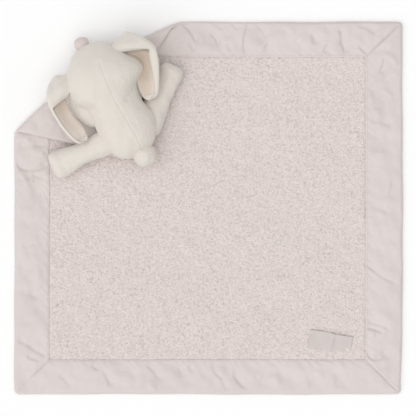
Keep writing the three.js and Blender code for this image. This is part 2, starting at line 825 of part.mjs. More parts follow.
function placeEar(name, ear) {
  place(rabbit, `${name}_back`, earPiece(ear, earBackLayer), plush);
  place(rabbit, `${name}_lining`, earPiece(ear, earLiningLayer), liningSatin);
}

placeLeg('left_leg', leftLeg, flapTop - clothThickness);
placeLeg('right_leg', rightLeg, 0);
placeStuffed('left_arm', stuffedPiece(armForm(-1), roomFor(body), roomFor(head)));
placeStuffed('right_arm', stuffedPiece(armForm(1), roomFor(body), roomFor(head)));
placeEar('left_ear', leftEar);
placeEar('right_ear', rightEar);

const nose = solidOf(ball(noseRadius, headFront - noseAhead, noseShift, headWaist - noseBelowWaist));
const tail = solidOf(ball(tailRadius, bodyEnd + tailBehind, tailShift, bodyWaist - tailBelowWaist));
place(rabbit, 'nose', largestBody(without(nose, roomFor(head)(sewnGap))), pinkPlush);
place(rabbit, 'tail_pompom', largestBody(without(tail, roomFor(body)(sewnGap))), plush);

export default lovey;
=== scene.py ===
import bpy
import math
import numpy as np
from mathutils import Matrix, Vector
from mathutils.bvhtree import BVHTree


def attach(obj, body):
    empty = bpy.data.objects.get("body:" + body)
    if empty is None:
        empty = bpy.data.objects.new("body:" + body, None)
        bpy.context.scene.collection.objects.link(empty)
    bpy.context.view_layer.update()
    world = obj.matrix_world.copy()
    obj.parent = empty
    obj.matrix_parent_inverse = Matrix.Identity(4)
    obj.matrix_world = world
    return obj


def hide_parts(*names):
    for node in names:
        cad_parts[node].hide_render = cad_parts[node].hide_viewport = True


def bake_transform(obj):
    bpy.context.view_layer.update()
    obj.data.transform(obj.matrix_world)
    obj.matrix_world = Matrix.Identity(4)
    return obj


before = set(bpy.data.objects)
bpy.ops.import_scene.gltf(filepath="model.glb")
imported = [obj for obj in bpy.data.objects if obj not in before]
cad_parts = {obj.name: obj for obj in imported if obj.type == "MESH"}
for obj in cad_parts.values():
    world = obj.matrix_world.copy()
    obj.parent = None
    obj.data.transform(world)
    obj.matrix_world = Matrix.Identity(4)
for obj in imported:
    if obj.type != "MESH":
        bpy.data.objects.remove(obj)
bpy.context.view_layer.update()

MM = 0.001

# Blanket sizes, in millimetres
WIDTH, DEPTH, BORDER = 400.0, 380.0, 38.0
CORNER, CLOTH, HEM = 5.0, 3.4, 12.0
PANEL_X, PANEL_Y = WIDTH / 2 - BORDER + 1.5, DEPTH / 2 - BORDER + 1.5
CREASE_DOWN, CREASE_ALONG, CREASE_BULGE = 120.5, 183.0, 13.5
FOLD_HEIGHT = 4.4
FLAP_TOP = 2 * FOLD_HEIGHT
BEND = FOLD_HEIGHT - CLOTH / 2
BEND_LENGTH = math.pi * BEND

# The rabbit has its own frame on the blanket: x runs from its head to its tail and y to its right side
RABBIT, RABBIT_TURN = (-93.3, 104.6), -60.2

# It rests this high on the cloth and on the turned-over corner
ON_CLOTH, ON_FLAP = CLOTH + 0.3, FLAP_TOP + 0.3


# Smooth functions
def smoothstep(x, low, high):
    t = np.clip((np.asarray(x, float) - low) / (high - low), 0, 1)
    return t * t * (3 - 2 * t)


def bell(x, middle, width):
    return np.exp(-((x - middle) / width) ** 2)


def mixed(a, b, share):
    return a + (b - a) * share


def curve(pairs, steady=False):
    """A smooth run through pairs of place and value. A steady one never swings past them."""
    x = np.array([p[0] for p in pairs], float)
    y = np.array([p[1] for p in pairs], float)
    slope = np.gradient(y, x)
    if steady:
        before, after = np.diff(y)[:-1] / np.diff(x)[:-1], np.diff(y)[1:] / np.diff(x)[1:]
        gentle = np.minimum(np.abs(before), np.abs(after)) * 1.5
        inner = np.clip(slope[1:-1], -gentle, gentle)
        slope[1:-1] = np.where(before * after > 0, inner, 0)

    def at(place):
        place = np.clip(np.asarray(place, float), x[0], x[-1])
        i = np.clip(np.searchsorted(x, place, side="right") - 1, 0, len(x) - 2)
        span = x[i + 1] - x[i]
        t = (place - x[i]) / span
        rise = y[i + 1] - y[i]
        bend = (slope[i] * span - rise) * (1 - t) + (rise - slope[i + 1] * span) * t
        return y[i] + rise * t + t * (1 - t) * bend
    return at


def make_waves(count, longest, shortest, seed):
    """A set of waves in random directions, with lengths between two limits, that add up to smooth noise."""
    r = np.random.default_rng(seed)
    lengths = np.exp(r.uniform(math.log(shortest), math.log(longest), count))
    directions = r.normal(size=(count, 3))
    directions /= np.linalg.norm(directions, axis=1)[:, None]
    k = directions / lengths[:, None] * 2 * math.pi
    return k, r.uniform(0, 2 * math.pi, count), (lengths / longest) ** 0.6


def waves(points, made):
    """The noise that a set of waves makes at the points, about 1 in strength."""
    k, phase, size = made
    total = np.zeros(len(points))
    for i in range(len(phase)):
        total += size[i] * np.sin(points @ k[i] + phase[i])
    return total / math.sqrt((size ** 2).sum() / 2)


def turned(x, y, degrees, origin):
    """Places turned about zero and then moved to an origin."""
    c, s = math.cos(math.radians(degrees)), math.sin(math.radians(degrees))
    return origin[0] + x * c - y * s, origin[1] + x * s + y * c


# Meshes
def linked(name, data):
    obj = bpy.data.objects.new(name, data)
    bpy.context.collection.objects.link(obj)
    return obj


def mesh_object(name, points, faces, material):
    """A smoothly shaded mesh from points in millimetres."""
    mesh = bpy.data.meshes.new(name)
    mesh.from_pydata((np.asarray(points) * MM).tolist(), [], [tuple(f) for f in faces])
    mesh.validate()
    mesh.update()
    mesh.materials.append(material)
    mesh.polygons.foreach_set("use_smooth", [True] * len(mesh.polygons))
    return linked(name, mesh)


def flipped(faces):
    return [f[::-1] for f in faces]


def shifted(faces, by):
    return [tuple(v + by for v in f) for f in faces]


def grid_shares(rows, columns):
    """Shares from 0 to 1 down the rows and across the columns of a grid, point by point."""
    s, t = np.meshgrid(np.linspace(0, 1, rows), np.linspace(0, 1, columns), indexing="ij")
    return s.ravel(), t.ravel()


def grid_faces(rows, columns, wrap=False):
    """Quads of a grid with this many rows and columns of points."""
    faces = []
    for start in range(0, (rows - 1) * columns, columns):
        for j in range(columns if wrap else columns - 1):
            a, b = start + j, start + (j + 1) % columns
            faces.append((a, b, b + columns, a + columns))
    return faces


def layer_faces(rows, columns):
    """Faces of a thin closed layer: an upper grid, the same grid below it and the walls between them."""
    count = rows * columns
    upper = grid_faces(rows, columns)
    ring = [i * columns for i in range(rows)]
    ring += [(rows - 1) * columns + j for j in range(1, columns)]
    ring += [i * columns + columns - 1 for i in range(rows - 2, -1, -1)]
    ring += list(range(columns - 2, 0, -1))
    walls = [(a, b, b + count, a + count) for a, b in zip(ring, ring[1:] + ring[:1])]
    return upper + flipped(shifted(upper, count)) + walls


def closed_faces(rings, ring):
    """Faces of a form that is a first point, rings of points and a last point."""
    tip, base = 1 + rings * ring, 1 + (rings - 1) * ring
    faces = [(0, 1 + (i + 1) % ring, 1 + i) for i in range(ring)]
    faces += shifted(grid_faces(rings, ring, wrap=True), 1)
    faces += [(tip, base + i, base + (i + 1) % ring) for i in range(ring)]
    return faces


# Materials
def srgb(r, g, b):
    def linear(c):
        c /= 255
        return c / 12.92 if c <= 0.04045 else ((c + 0.055) / 1.055) ** 2.4
    return (linear(r), linear(g), linear(b), 1)


def grey(value):
    return (value, value, value, 1)


def tinted(color, factor, shift=(1, 1, 1)):
    return tuple(min(1, c * factor * s) for c, s in zip(color[:3], shift)) + (1,)


class Nodes:
    """A short way to write a node tree. Texture scales are per metre and bump distances in metres."""

    def __init__(self, name, base, roughness, sheen=0.0, sheen_roughness=0.5, specular=0.5):
        self.material = bpy.data.materials.new(name)
        self.material.use_nodes = True
        self.tree = self.material.node_tree
        self.shader = self.tree.nodes["Principled BSDF"]
        self.put(self.shader, {"Base Color": base, "Roughness": roughness, "Sheen Weight": sheen,
                               "Sheen Roughness": sheen_roughness, "Specular IOR Level": specular})

    def put(self, node, inputs):
        """Sets each input of a node to its value, or links another node's output to it."""
        for key, value in inputs.items():
            if isinstance(value, bpy.types.NodeSocket):
                self.tree.links.new(value, node.inputs[key])
            else:
                node.inputs[key].default_value = value

    def add(self, kind, inputs, **settings):
        node = self.tree.nodes.new("ShaderNode" + kind)
        for key, value in settings.items():
            setattr(node, key, value)
        self.put(node, inputs)
        return node

    def places(self, scale=(1, 1, 1), rotation=(0, 0, 0)):
        where = self.add("TexCoord", {}).outputs["Object"]
        return self.add("Mapping", {"Vector": where, "Scale": scale, "Rotation": rotation}).outputs["Vector"]

    def noise(self, vector, scale, detail=2.0, roughness=0.5, distortion=0.0):
        node = self.add("TexNoise", {"Vector": vector, "Scale": scale, "Detail": detail,
                                     "Roughness": roughness, "Distortion": distortion})
        return node.outputs["Fac"]

    def cells(self, vector, scale, smoothness):
        inputs = {"Vector": vector, "Scale": scale, "Smoothness": smoothness}
        return self.add("TexVoronoi", inputs, feature="SMOOTH_F1").outputs["Distance"]

    def wave(self, vector, scale, direction, distortion=0.0):
        inputs = {"Vector": vector, "Scale": scale, "Distortion": distortion}
        return self.add("TexWave", inputs, bands_direction=direction).outputs["Fac"]

    def ramp(self, value, *stops):
        """A run between stops, each a place and a colour."""
        node = self.add("ValToRGB", {"Fac": value})
        for place, _ in stops[1:-1]:
            node.color_ramp.elements.new(place)
        for element, (place, color) in zip(node.color_ramp.elements, stops):
            element.position = place
            element.color = color
        return node.outputs["Color"]

    def tones(self, value, color, *stops):
        """A run between tones of a colour, each a place, a factor and, where it isn't neutral, a shift."""
        return self.ramp(value, *((place, tinted(color, *tint)) for place, *tint in stops))

    def mix(self, factor, a, b, blend="MIX"):
        return self.add("Mix", {0: factor, 6: a, 7: b}, data_type="RGBA", blend_type=blend).outputs[2]

    def math(self, operation, a, b):
        return self.add("Math", {0: a, 1: b}, operation=operation).outputs[0]

    def bump(self, height, strength, distance, normal=None):
        inputs = {"Height": height, "Strength": strength, "Distance": distance}
        if normal is not None:
            inputs["Normal"] = normal
        return self.add("Bump", inputs).outputs["Normal"]

    def done(self, color, normal):
        self.put(self.shader, {"Base Color": color, "Normal": normal})
        return self.material


def satin_material(name, color, rough):
    m = Nodes(name, color, rough, sheen=0.2, sheen_roughness=0.4, specular=0.35)
    where = m.places()
    broad = m.tones(m.noise(where, 16, 3), color, (0.3, 0.97), (0.7, 1.025))
    fine = m.tones(m.noise(where, 700), color, (0.35, 0.95), (0.65, 1.04))
    weave = m.math("MULTIPLY", m.wave(where, 620, "X", 1.5), m.wave(where, 620, "Y", 1.5))
    ripple = m.bump(m.noise(where, 75, 3, 0.5, 0.6), 0.5, 0.0016)
    gloss = m.ramp(m.noise(where, 55), (0.35, grey(rough - 0.06)), (0.7, grey(rough + 0.1)))
    m.put(m.shader, {"Roughness": gloss})
    return m.done(m.mix(0.25, broad, fine), m.bump(weave, 0.12, 0.0001, ripple))


def pile_material(name, color):
    m = Nodes(name, color, 0.95, sheen=0.25, sheen_roughness=0.6, specular=0.1)
    where = m.places()
    lying = m.places(scale=(0.9, 1.3, 1))
    specks = m.noise(lying, 640, 2, 0.6, 0.8)
    shade = m.tones(specks, color, (0.3, 0.62, (1, 0.97, 0.95)), (0.48, 1.0), (0.7, 1.14))
    patches = m.tones(m.noise(where, 14, 3), color, (0.3, 0.98), (0.7, 1.02))
    tufts = m.bump(m.cells(lying, 560, 0.3), 0.5, 0.0009)
    normal = m.bump(m.noise(where, 1000, 2, 0.6), 0.3, 0.0005, tufts)
    return m.done(m.mix(0.3, shade, patches), normal)


def plush_material(name, color):
    m = Nodes(name, color, 0.9, sheen=0.35, sheen_roughness=0.5, specular=0.1)
    where = m.places()
    nap = m.noise(where, 560, 3, 0.6, 0.5)
    swirl = m.noise(where, 50, 3, 0.5, 1.2)
    shade = m.tones(nap, color, (0.25, 0.955, (1, 0.99, 0.975)), (0.7, 1.02))
    drift = m.tones(swirl, color, (0.3, 0.98, (1, 0.995, 0.985)), (0.7, 1.015))
    normal = m.bump(swirl, 0.15, 0.003, m.bump(nap, 0.35, 0.0006))
    return m.done(m.mix(0.5, shade, drift), normal)


# The stretch along the rabbit, and the stretch of height, over which painted shade darkens the ears' lining:
# towards the root under the hood, and in the bottom of the cup
LINING_SHADE_START, LINING_SHADE_RUN = -34.4, 52.6
LINING_SHADE_LOW, LINING_SHADE_RISE = 32.5, 3.85


def lining_material(name, color):
    """Satin with painted shade: darker towards the root of the ear, where the hood shades it, and in the
    bottom of its cup.
    """
    m = Nodes(name, color, 0.5, sheen=0.2, sheen_roughness=0.4, specular=0.3)
    where = m.places()
    x, y, z = m.add("SeparateXYZ", {0: where}).outputs
    ahead_x, ahead_y = turned(1, 0, RABBIT_TURN, (0, 0))
    start = RABBIT[0] * ahead_x + RABBIT[1] * ahead_y + LINING_SHADE_START
    ahead = m.math("ADD", m.math("MULTIPLY", x, ahead_x), m.math("MULTIPLY", y, ahead_y))
    towards_tip = m.math("DIVIDE", m.math("SUBTRACT", ahead, start * MM), LINING_SHADE_RUN * MM)
    height = m.math("DIVIDE", m.math("SUBTRACT", z, LINING_SHADE_LOW * MM), LINING_SHADE_RISE * MM)
    # Painted shade: the lining darkens towards the ear's root, under the hood, and low in the cup of the leaf
    root = m.tones(towards_tip, color, (0.12, 0.84, (1, 0.96, 0.9)), (0.75, 1.03))
    painted_cup_shade = m.ramp(height, (0.05, (0.9, 0.87, 0.82, 1)), (0.85, grey(1)))
    ripple = m.noise(where, 90, 3, 0.5, 0.8)
    return m.done(m.mix(1.0, root, painted_cup_shade, "MULTIPLY"), m.bump(ripple, 0.5, 0.0018))


def thread_material(name, color):
    m = Nodes(name, color, 0.55, sheen=0.2, specular=0.3)
    twist = m.wave(m.places(), 900, "DIAGONAL", 0.5)
    return m.done(m.tones(twist, color, (0.2, 0.9), (0.8, 1.04)), m.bump(twist, 0.5, 0.0002))


def label_material(name, color):
    m = Nodes(name, color, 0.5, sheen=0.15, specular=0.3)
    where = m.places(rotation=(0, 0, math.radians(6.5)))
    warp = m.wave(where, 520, "X")
    weft = m.wave(where, 300, "Y")
    both = m.math("ADD", m.math("MULTIPLY", warp, 0.5), m.math("MULTIPLY", weft, 0.5))
    normal = m.bump(weft, 0.25, 0.0002, m.bump(warp, 0.25, 0.0002))
    return m.done(m.tones(both, color, (0.1, 0.97), (0.9, 1.03)), normal)


satin = satin_material("border_satin", srgb(213, 203, 200), 0.42)
backing_satin = satin_material("backing_satin", srgb(221, 211, 207), 0.5)
pile = pile_material("pile_cloth", srgb(221, 210, 206))
plush = plush_material("cream_plush", srgb(220, 214, 206))
# The ear lining's base colour is its own; its material paints shade on it towards the root and in the cup's
# bottom
lining = lining_material("ear_lining", srgb(213, 201, 191))
pink_plush = plush_material("pink_plush", srgb(214, 201, 199))
thread = thread_material("sewing_thread", srgb(216, 206, 202))
eye_thread = thread_material("eye_thread", srgb(122, 98, 86))
label_satin = label_material("label_satin", srgb(206, 197, 194))


# The folded corner
def fold_circle():
    """Centre and radius of the crease, an arc that ends on two of the blanket's edges."""
    start = np.array([-WIDTH / 2, DEPTH / 2 - CREASE_DOWN])
    end = np.array([-WIDTH / 2 + CREASE_ALONG, DEPTH / 2])
    chord = end - start
    radius = (chord @ chord / 4 + CREASE_BULGE ** 2) / (2 * CREASE_BULGE)
    inward = np.array([chord[1], -chord[0]]) / np.linalg.norm(chord)
    return (start + end) / 2 + inward * (radius - CREASE_BULGE), radius


FOLD_CENTRE, FOLD_RADIUS = fold_circle()

# How far the cloth lies off its even place at the outer and inner edges of the strips
SHIFTS_X, SHIFTS_Y = (0.5, -1.0, -2.0, -1.8), (-2.0, -3.8, 1.2, -0.3)
DRAWN, DRAWN_ALONG, DRAWN_UP = 1.8, 50.0, 80.0


def laid(p):
    """The cloth as it lies: its strips aren't all equally wide, and its lower right corner is drawn in."""
    x, y = p[:, 0].copy(), p[:, 1].copy()
    half_x, half_y = WIDTH / 2, DEPTH / 2
    p[:, 0] += np.interp(x, (-half_x, BORDER - half_x, half_x - BORDER, half_x), SHIFTS_X)
    p[:, 1] += np.interp(y, (-half_y, BORDER - half_y, half_y - BORDER, half_y), SHIFTS_Y)
    near_side = smoothstep(x, half_x - DRAWN_ALONG, half_x)
    p[:, 0] -= DRAWN * near_side * smoothstep(-y, half_y - DRAWN_UP, half_y)
    return p


def folded(points):
    """Flat places and heights of the cloth, taken to where the folded corner puts them."""
    p = laid(np.asarray(points, float).copy())
    out = p[:, :2] - FOLD_CENTRE
    reach = np.linalg.norm(out, axis=1)
    past = reach - FOLD_RADIUS
    turn = np.clip(past, 0, BEND_LENGTH) / BEND
    rise = FOLD_HEIGHT - p[:, 2]
    new_reach = FOLD_RADIUS + rise * np.sin(turn) - np.maximum(past - BEND_LENGTH, 0)
    over = past > 0
    unit = out / reach[:, None]
    from_left, from_top = p[:, 0] + WIDTH / 2, DEPTH / 2 - p[:, 1]
    p[over, :2] = (FOLD_CENTRE + unit * new_reach[:, None])[over]
    p[over, 2] = (FOLD_HEIGHT - rise * np.cos(turn))[over]
    return slackened(p, past - BEND_LENGTH, from_left, from_top)


# How far the turned-over corner's edges bow out and stand off the cloth below, and how deep that reaches
LEFT_BOW, TOP_BOW, BOW_DEPTH = 8.0, 7.0, 30.0
LEFT_LIFT, TOP_LIFT = 1.3, 1.7


def slackened(p, onto_flap, from_left, from_top):
    """The turned-over corner isn't pulled tight: its two edges bow outwards and stand off a little."""
    run = np.maximum(onto_flap, 0)
    at_left = np.exp(-(np.abs(from_left) / BOW_DEPTH) ** 1.5) * (1 - np.exp(-run / 20))
    at_top = np.exp(-(np.abs(from_top) / BOW_DEPTH) ** 1.5) * (1 - np.exp(-run / 12)) * np.exp(-run / 70)
    p[:, 1] -= LEFT_BOW * at_left
    p[:, 0] += TOP_BOW * at_top
    p[:, 2] += LEFT_LIFT * at_left * bell(run, 34, 20) + TOP_LIFT * at_top * bell(run, 22, 14)
    return p


# Blanket
long_waves = make_waves(14, 150, 45, 11)
mid_waves = make_waves(16, 38, 14, 12)
ripple_waves = make_waves(20, 13, 6, 14)
tuft_waves = make_waves(60, 4.4, 2.7, 13)

# Soft creases in the satin, all flat: where one starts and ends, its width, its height and its bow
CREASES = [
    (-26.8, 189.1, -10.7, 166.5, 2.6, -1.6, 1), (42, 187.7, 37.6, 158.4, 1.4, -1.1, -1),
    (2.5, 177.4, 11.3, 162.8, 1.6, -0.9, 1), (50.9, 186.2, 61.1, 173, 3, -0.9, 0.5),
    (25.6, 187.7, 30.4, 181.8, 2.2, -0.8, 0), (5.1, 189.1, 15.4, 181.8, 2.4, -0.8, 0),
    (-18.5, 167.2, -14.9, 159, 1.8, -0.8, 0), (135.8, 181.8, 137.6, 167.2, 2.2, -1.4, 0.6),
    (137.4, 168.2, 142, 156.4, 1.8, -1.1, 0), (124.1, 166.5, 119, 157.1, 1.8, -1, 0),
    (106.6, 177.4, 110.1, 165.7, 2.4, -0.9, 0.4), (154.9, 186.2, 173.3, 176.4, 3.2, -0.9, 0.8),
    (154.9, 164.2, 163.7, 155.1, 1.8, -0.9, 0), (79, 185.6, 89.2, 178.5, 3.2, 0.6, 0),
    (89.2, 171.3, 97.4, 159, 2.6, -0.6, 0.6), (62.6, 167.2, 58.5, 157.9, 2.2, -0.6, 0),
    (20.5, 167.2, 23.6, 159, 1.8, -0.6, 0), (181.2, 155.5, 194.5, 143.7, 2.4, 1, 0.6),
    (179.8, 119.5, 189.2, 112.3, 1.8, 1, 0), (163.7, 124.7, 181.5, 133.8, 3.2, 0.9, 0),
    (166.6, 107.1, 184.6, 115.9, 3.2, 0.9, 0.5), (163.9, 51.3, 182, 55.8, 3.4, 0.9, 0.5),
    (161, -57.4, 173.3, -64.6, 1.8, -0.9, 0.4), (172.3, -63.6, 193.8, -75.5, 2.6, -0.8, -0.6),
    (163.9, -114.7, 186.7, -122, 2.8, -0.8, 0.6), (162.6, -121, 179.5, -125.6, 1.8, -1.2, 0.6),
    (163.6, -146.1, 174.4, -153.3, 2.2, -1.1, -0.8), (174.4, -153.3, 184.1, -145.6, 2.4, -1, -0.6),
    (162, -129.2, 172.3, -128.2, 2.6, 0.8, 0), (165.1, 2.1, 187.7, -5.1, 4, -0.6, 0.8),
    (167.2, -21.5, 185.6, -15.4, 4, 0.6, 0), (181.5, 150.8, 176.4, 136.4, 2, -0.8, 0.5),
    (190.8, 27.7, 186.7, 11.3, 2.4, -0.5, 0), (167.2, 89.2, 189.7, 82, 3, -0.6, 0.6),
    (171.3, 99.5, 175.4, 88.2, 2.4, 0.6, 0), (-198.5, 47.2, -183.6, 38.5, 2.6, -1.3, -1.5),
    (-183.6, 38.5, -165.1, 44.1, 2.2, -1.2, -1), (-198.5, 35.9, -188.2, 24.6, 2.4, 1.3, 1.2),
    (-188.2, 24.6, -178.5, 27.2, 2.2, 1, 0), (-181.5, 33.8, -168.2, 28.2, 2.4, -0.9, 0.5),
    (-195.9, 61, -166.1, 63.1, 4.5, -1, 1), (-197.9, 69.7, -183.6, 67.2, 2.6, 0.8, 0.5),
    (-183.6, 56.4, -167.2, 54.4, 3, 0.7, 0), (-191.3, -39, -175.9, -36.4, 3, -0.7, 0.4),
    (-196.4, -133.8, -180.5, -141.5, 2.6, -0.9, 0.6), (-181, -141.5, -166.1, -149.2, 2.2, -0.8, 0),
    (-186.1, -149.2, -173.3, -154.4, 2, -0.8, 0), (-193.8, -85.1, -173.3, -91.3, 3.6, -0.6, 0.8),
    (-195.9, -5.1, -177.4, 0, 3.4, 0.6, 0), (4.6, -158.5, 15.4, -173.3, 2.4, -0.8, -0.8),
    (14.4, -172.3, 20, -185.6, 3, -0.7, 0), (26.7, -168.2, 39, -183.6, 2, -0.9, -0.6),
    (-62.6, -157.9, -50.3, -173.3, 2.4, -0.8, 0.6), (-107.7, -164.1, -99.5, -181.5, 3, -0.8, 0.5),
    (-119, -159, -111.8, -164.1, 2, -0.8, 0), (-19.5, -157.9, -16.4, -166.1, 1.6, -0.8, 0),
    (-57.4, -180.5, -54.4, -188.7, 1.6, 0.7, 0), (-29.7, -160, -25.6, -171.3, 2.6, -0.6, 0),
    (102.6, -168.2, 106.7, -183.6, 3.4, -0.4, 0.4), (132.3, -167.2, 135.4, -182.6, 3.6, -0.4, 0),
    (-152.8, -169.2, -140.5, -181.5, 3, -0.6, 0.6), (60.5, -163.1, 54.4, -181.5, 3, -0.5, 0),
]

# The same on the turned-over corner, in the places where they end up
FLAP_CREASES = [
    (-59.5, 171.3, -52.3, 165.1, 2, -0.8, 0.3), (-54.4, 178.5, -47.2, 171.3, 1.8, -0.8, 0),
    (-47.2, 183.6, -42, 175.4, 2.2, 0.7, 0), (-44.1, 171.3, -49.2, 163.1, 1.6, -0.8, 0),
    (-166.1, 91.3, -157.9, 85.1, 3, 0.6, 0), (-150.8, 79, -146.7, 69.7, 1.8, -0.8, 0.3),
    (-183.6, 91.3, -173.3, 79, 4, -0.6, 0.5), (-193.8, 81, -179.5, 77.9, 3, 0.6, 0),
    (-177.4, 101.5, -167.2, 97.4, 3, -0.6, 0),
]
STEEP_SHARE, EASY_SHARE, HEIGHT_SHARE = 0.65, 1.9, 1.3


def crease_relief(x, y, creases=CREASES):
    """One steep and one easy side along each crease, fading out at its ends."""
    relief = np.zeros_like(x)
    for x0, y0, x1, y1, width, height, bow in creases:
        length = math.hypot(x1 - x0, y1 - y0)
        ux, uy = (x1 - x0) / length, (y1 - y0) / length
        along = ((x - x0) * ux + (y - y0) * uy) / length
        near = np.clip(along, 0, 1)
        aside = -(x - x0) * uy + (y - y0) * ux - bow * 2 * np.sin(math.pi * near)
        fade = bell(np.maximum(np.abs(along - 0.5) - 0.32, 0), 0, 0.17)
        spread = width * np.where(aside < 0, STEEP_SHARE, EASY_SHARE)
        relief += HEIGHT_SHARE * height * fade * bell(aside, 0, spread)
    return relief


# The strips' satin: how high it puffs up, and the height and step of its puckers at the stitches
PUFF, PUCKER, PUCKER_STEP = 1.15, 0.26, 11.0


def satin_relief(x, y, across):
    """How far the satin stands off the hem: puffed between its edges, puckered at the stitches, creased."""
    at = np.stack([x, y, np.zeros_like(x)], axis=1)
    uneven = waves(at, mid_waves)
    puff = PUFF * np.sin(np.pi * np.clip(across / BORDER, 0, 1)) ** 0.6
    pucker = PUCKER * np.sin((x + y) * 2 * math.pi / PUCKER_STEP + 1.6 * uneven) * bell(across, BORDER, 8)
    relief = puff * (1 + 0.42 * uneven + 0.5 * waves(at, long_waves) + 0.1 * waves(at, ripple_waves))
    return relief + pucker + crease_relief(x, y) * np.clip(puff + 0.25, 0, 1)


def edge_sway(u, side):
    """The binding's outer edge isn't quite straight."""
    return 0.3 * np.sin(u * 0.021 + side * 1.7) + 0.22 * np.sin(u * 0.083 + side)


def rounded_corner(x, y):
    """Takes the square of cloth at each outer corner to a quarter disc."""
    in_x, in_y = CORNER - (WIDTH / 2 - np.abs(x)), CORNER - (DEPTH / 2 - np.abs(y))
    there = (in_x > 0) & (in_y > 0)
    p, q = np.where(there, in_x, 1.0), np.where(there, in_y, 1.0)
    share = np.maximum(p, q) / np.hypot(p, q)
    new_x = np.sign(x) * (WIDTH / 2 - CORNER + p * share)
    new_y = np.sign(y) * (DEPTH / 2 - CORNER + q * share)
    return np.where(there, new_x, x), np.where(there, new_y, y)


# The four corners, the sides that run between them, whether each runs along x, and on which side it lies
CORNERS = [(-1, -1), (1, -1), (1, 1), (-1, 1)]
SIDES = [("bottom", True, -1), ("right", False, 1), ("top", True, 1), ("left", False, -1)]

# Rows of a strip, each a distance in from the outer edge and a height, in the order that the satin runs
TURNED_IN = [(BORDER - 7, 2.5), (BORDER - 3, 2.5), (BORDER - 0.8, 2.6), (BORDER, 3.0), (BORDER - 0.7, 3.5)]
UPPER_FACE = [(w, 3.55) for w in np.linspace(BORDER - 2, 2.2, 42)]
OUTER_EDGE = [(1.1, 3.3), (0.35, 2.6), (0.0, 1.8), (0.3, 0.9)]
UNDER_FACE = [(1.0, 0.35), (2.2, 0.12)] + [(w, 0.1) for w in np.linspace(3.5, BORDER - 1.5, 28)]
UNDER_FACE += [(BORDER, 0.3), (BORDER - 0.6, 0.8), (BORDER - 6, 0.9)]

# Columns of a strip: their step, the stretch and number of the closer ones at each end, and the mitre's gap
COLUMN_STEP, END_LENGTH, END_COLUMNS, MITRE_GAP = 1.1, 8.0, 12, 0.02


def strip_shares(half_length):
    """Places along a strip, from -1 to 1, closer together at its mitred ends."""
    near_end = 1 - END_LENGTH / half_length
    end = np.linspace(-1, -near_end, END_COLUMNS, endpoint=False)
    middle = np.linspace(-near_end, near_end, int(half_length * 2 / COLUMN_STEP))
    return np.concatenate([end, middle, -end[::-1]])


def strip_row(side, w, height, puffed):
    """One row of a strip's points, from mitre to mitre."""
    _, along_x, sign = SIDES[side]
    half_length, half_other = (WIDTH / 2, DEPTH / 2) if along_x else (DEPTH / 2, WIDTH / 2)
    reach = half_length - w
    u = strip_shares(half_length) * (reach - MITRE_GAP)
    sway = edge_sway(u, side) * smoothstep(reach - np.abs(u), 2, 25)
    v = half_other - w + sway * (1 - w / BORDER)
    x, y = rounded_corner(*((u, sign * v) if along_x else (sign * v, u)))
    z = np.full_like(x, height)
    if puffed:
        seam = bell(reach - np.abs(u), 0, 1.3)
        z += satin_relief(x, y, w) * (1 - 0.55 * seam) - 0.25 * seam
    return np.stack([x, y, z], axis=1)


def binding(side):
    """Satin folded round the hem, with a turned-in edge, mitred at both ends."""
    name, along_x, sign = SIDES[side]
    rows = [strip_row(side, w, height, False) for w, height in TURNED_IN]
    rows += [strip_row(side, w, height, True) for w, height in UPPER_FACE]
    rows += [strip_row(side, w, height, False) for w, height in OUTER_EDGE + UNDER_FACE]
    columns = len(rows[0])
    points = folded(np.concatenate(rows))
    under = np.arange(len(points)) >= (len(rows) - len(UNDER_FACE)) * columns
    turned_over = under & (points[:, 2] > FLAP_TOP - 1.5)
    points[turned_over, 2] += 0.5 * crease_relief(*points[turned_over, :2].T, FLAP_CREASES)
    faces = grid_faces(len(rows), columns)
    if (sign > 0) != along_x:
        faces = flipped(faces)
    obj = mesh_object("binding_" + name, points, faces, satin)
    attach(obj, "root")
    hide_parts("border_" + name)
    return obj


def panel_grid(step, coarse):
    """A flat grid with one step towards the corner that is turned over and a coarser one elsewhere."""
    turn_x, turn_y = 20.0, 40.0
    xs = np.concatenate([np.linspace(-PANEL_X, turn_x, int((PANEL_X + turn_x) / step), endpoint=False),
                         np.linspace(turn_x, PANEL_X, int((PANEL_X - turn_x) / coarse))])
    ys = np.concatenate([np.linspace(-PANEL_Y, turn_y, int((PANEL_Y + turn_y) / coarse), endpoint=False),
                         np.linspace(turn_y, PANEL_Y, int((PANEL_Y - turn_y) / step))])
    gx, gy = np.meshgrid(xs, ys)
    return np.stack([gx.ravel(), gy.ravel(), np.zeros(gx.size)], axis=1), len(ys), len(xs)


PILE_STEP, PILE_JITTER, PILE_BASE = 1.3, 0.3, 2.8


def pile_panel():
    """The looped pile: an uneven surface with tufts, its edges down in the hem."""
    flat, rows, columns = panel_grid(PILE_STEP, PILE_STEP)
    points = flat.copy()
    points[:, :2] += np.random.default_rng(21).normal(0, PILE_JITTER, (len(points), 2))
    random_lift = np.random.default_rng(22).normal(0, 1, len(points))
    edge = np.minimum(PANEL_X - np.abs(flat[:, 0]), PANEL_Y - np.abs(flat[:, 1]))
    tufts = 0.14 * waves(flat, tuft_waves) + 0.32 * random_lift
    broad = 0.3 * waves(flat, long_waves) + 0.18 * waves(flat, mid_waves)
    points[:, 2] = PILE_BASE + smoothstep(edge, 0.7, 2.6) * (1.0 + tufts + broad)
    obj = mesh_object("pile_panel", folded(points), grid_faces(rows, columns), pile)
    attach(obj, "root")
    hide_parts("center_panel")


BACKING_STEP, BACKING_COARSE, BACKING_TOP = 1.2, 4.0, 0.9


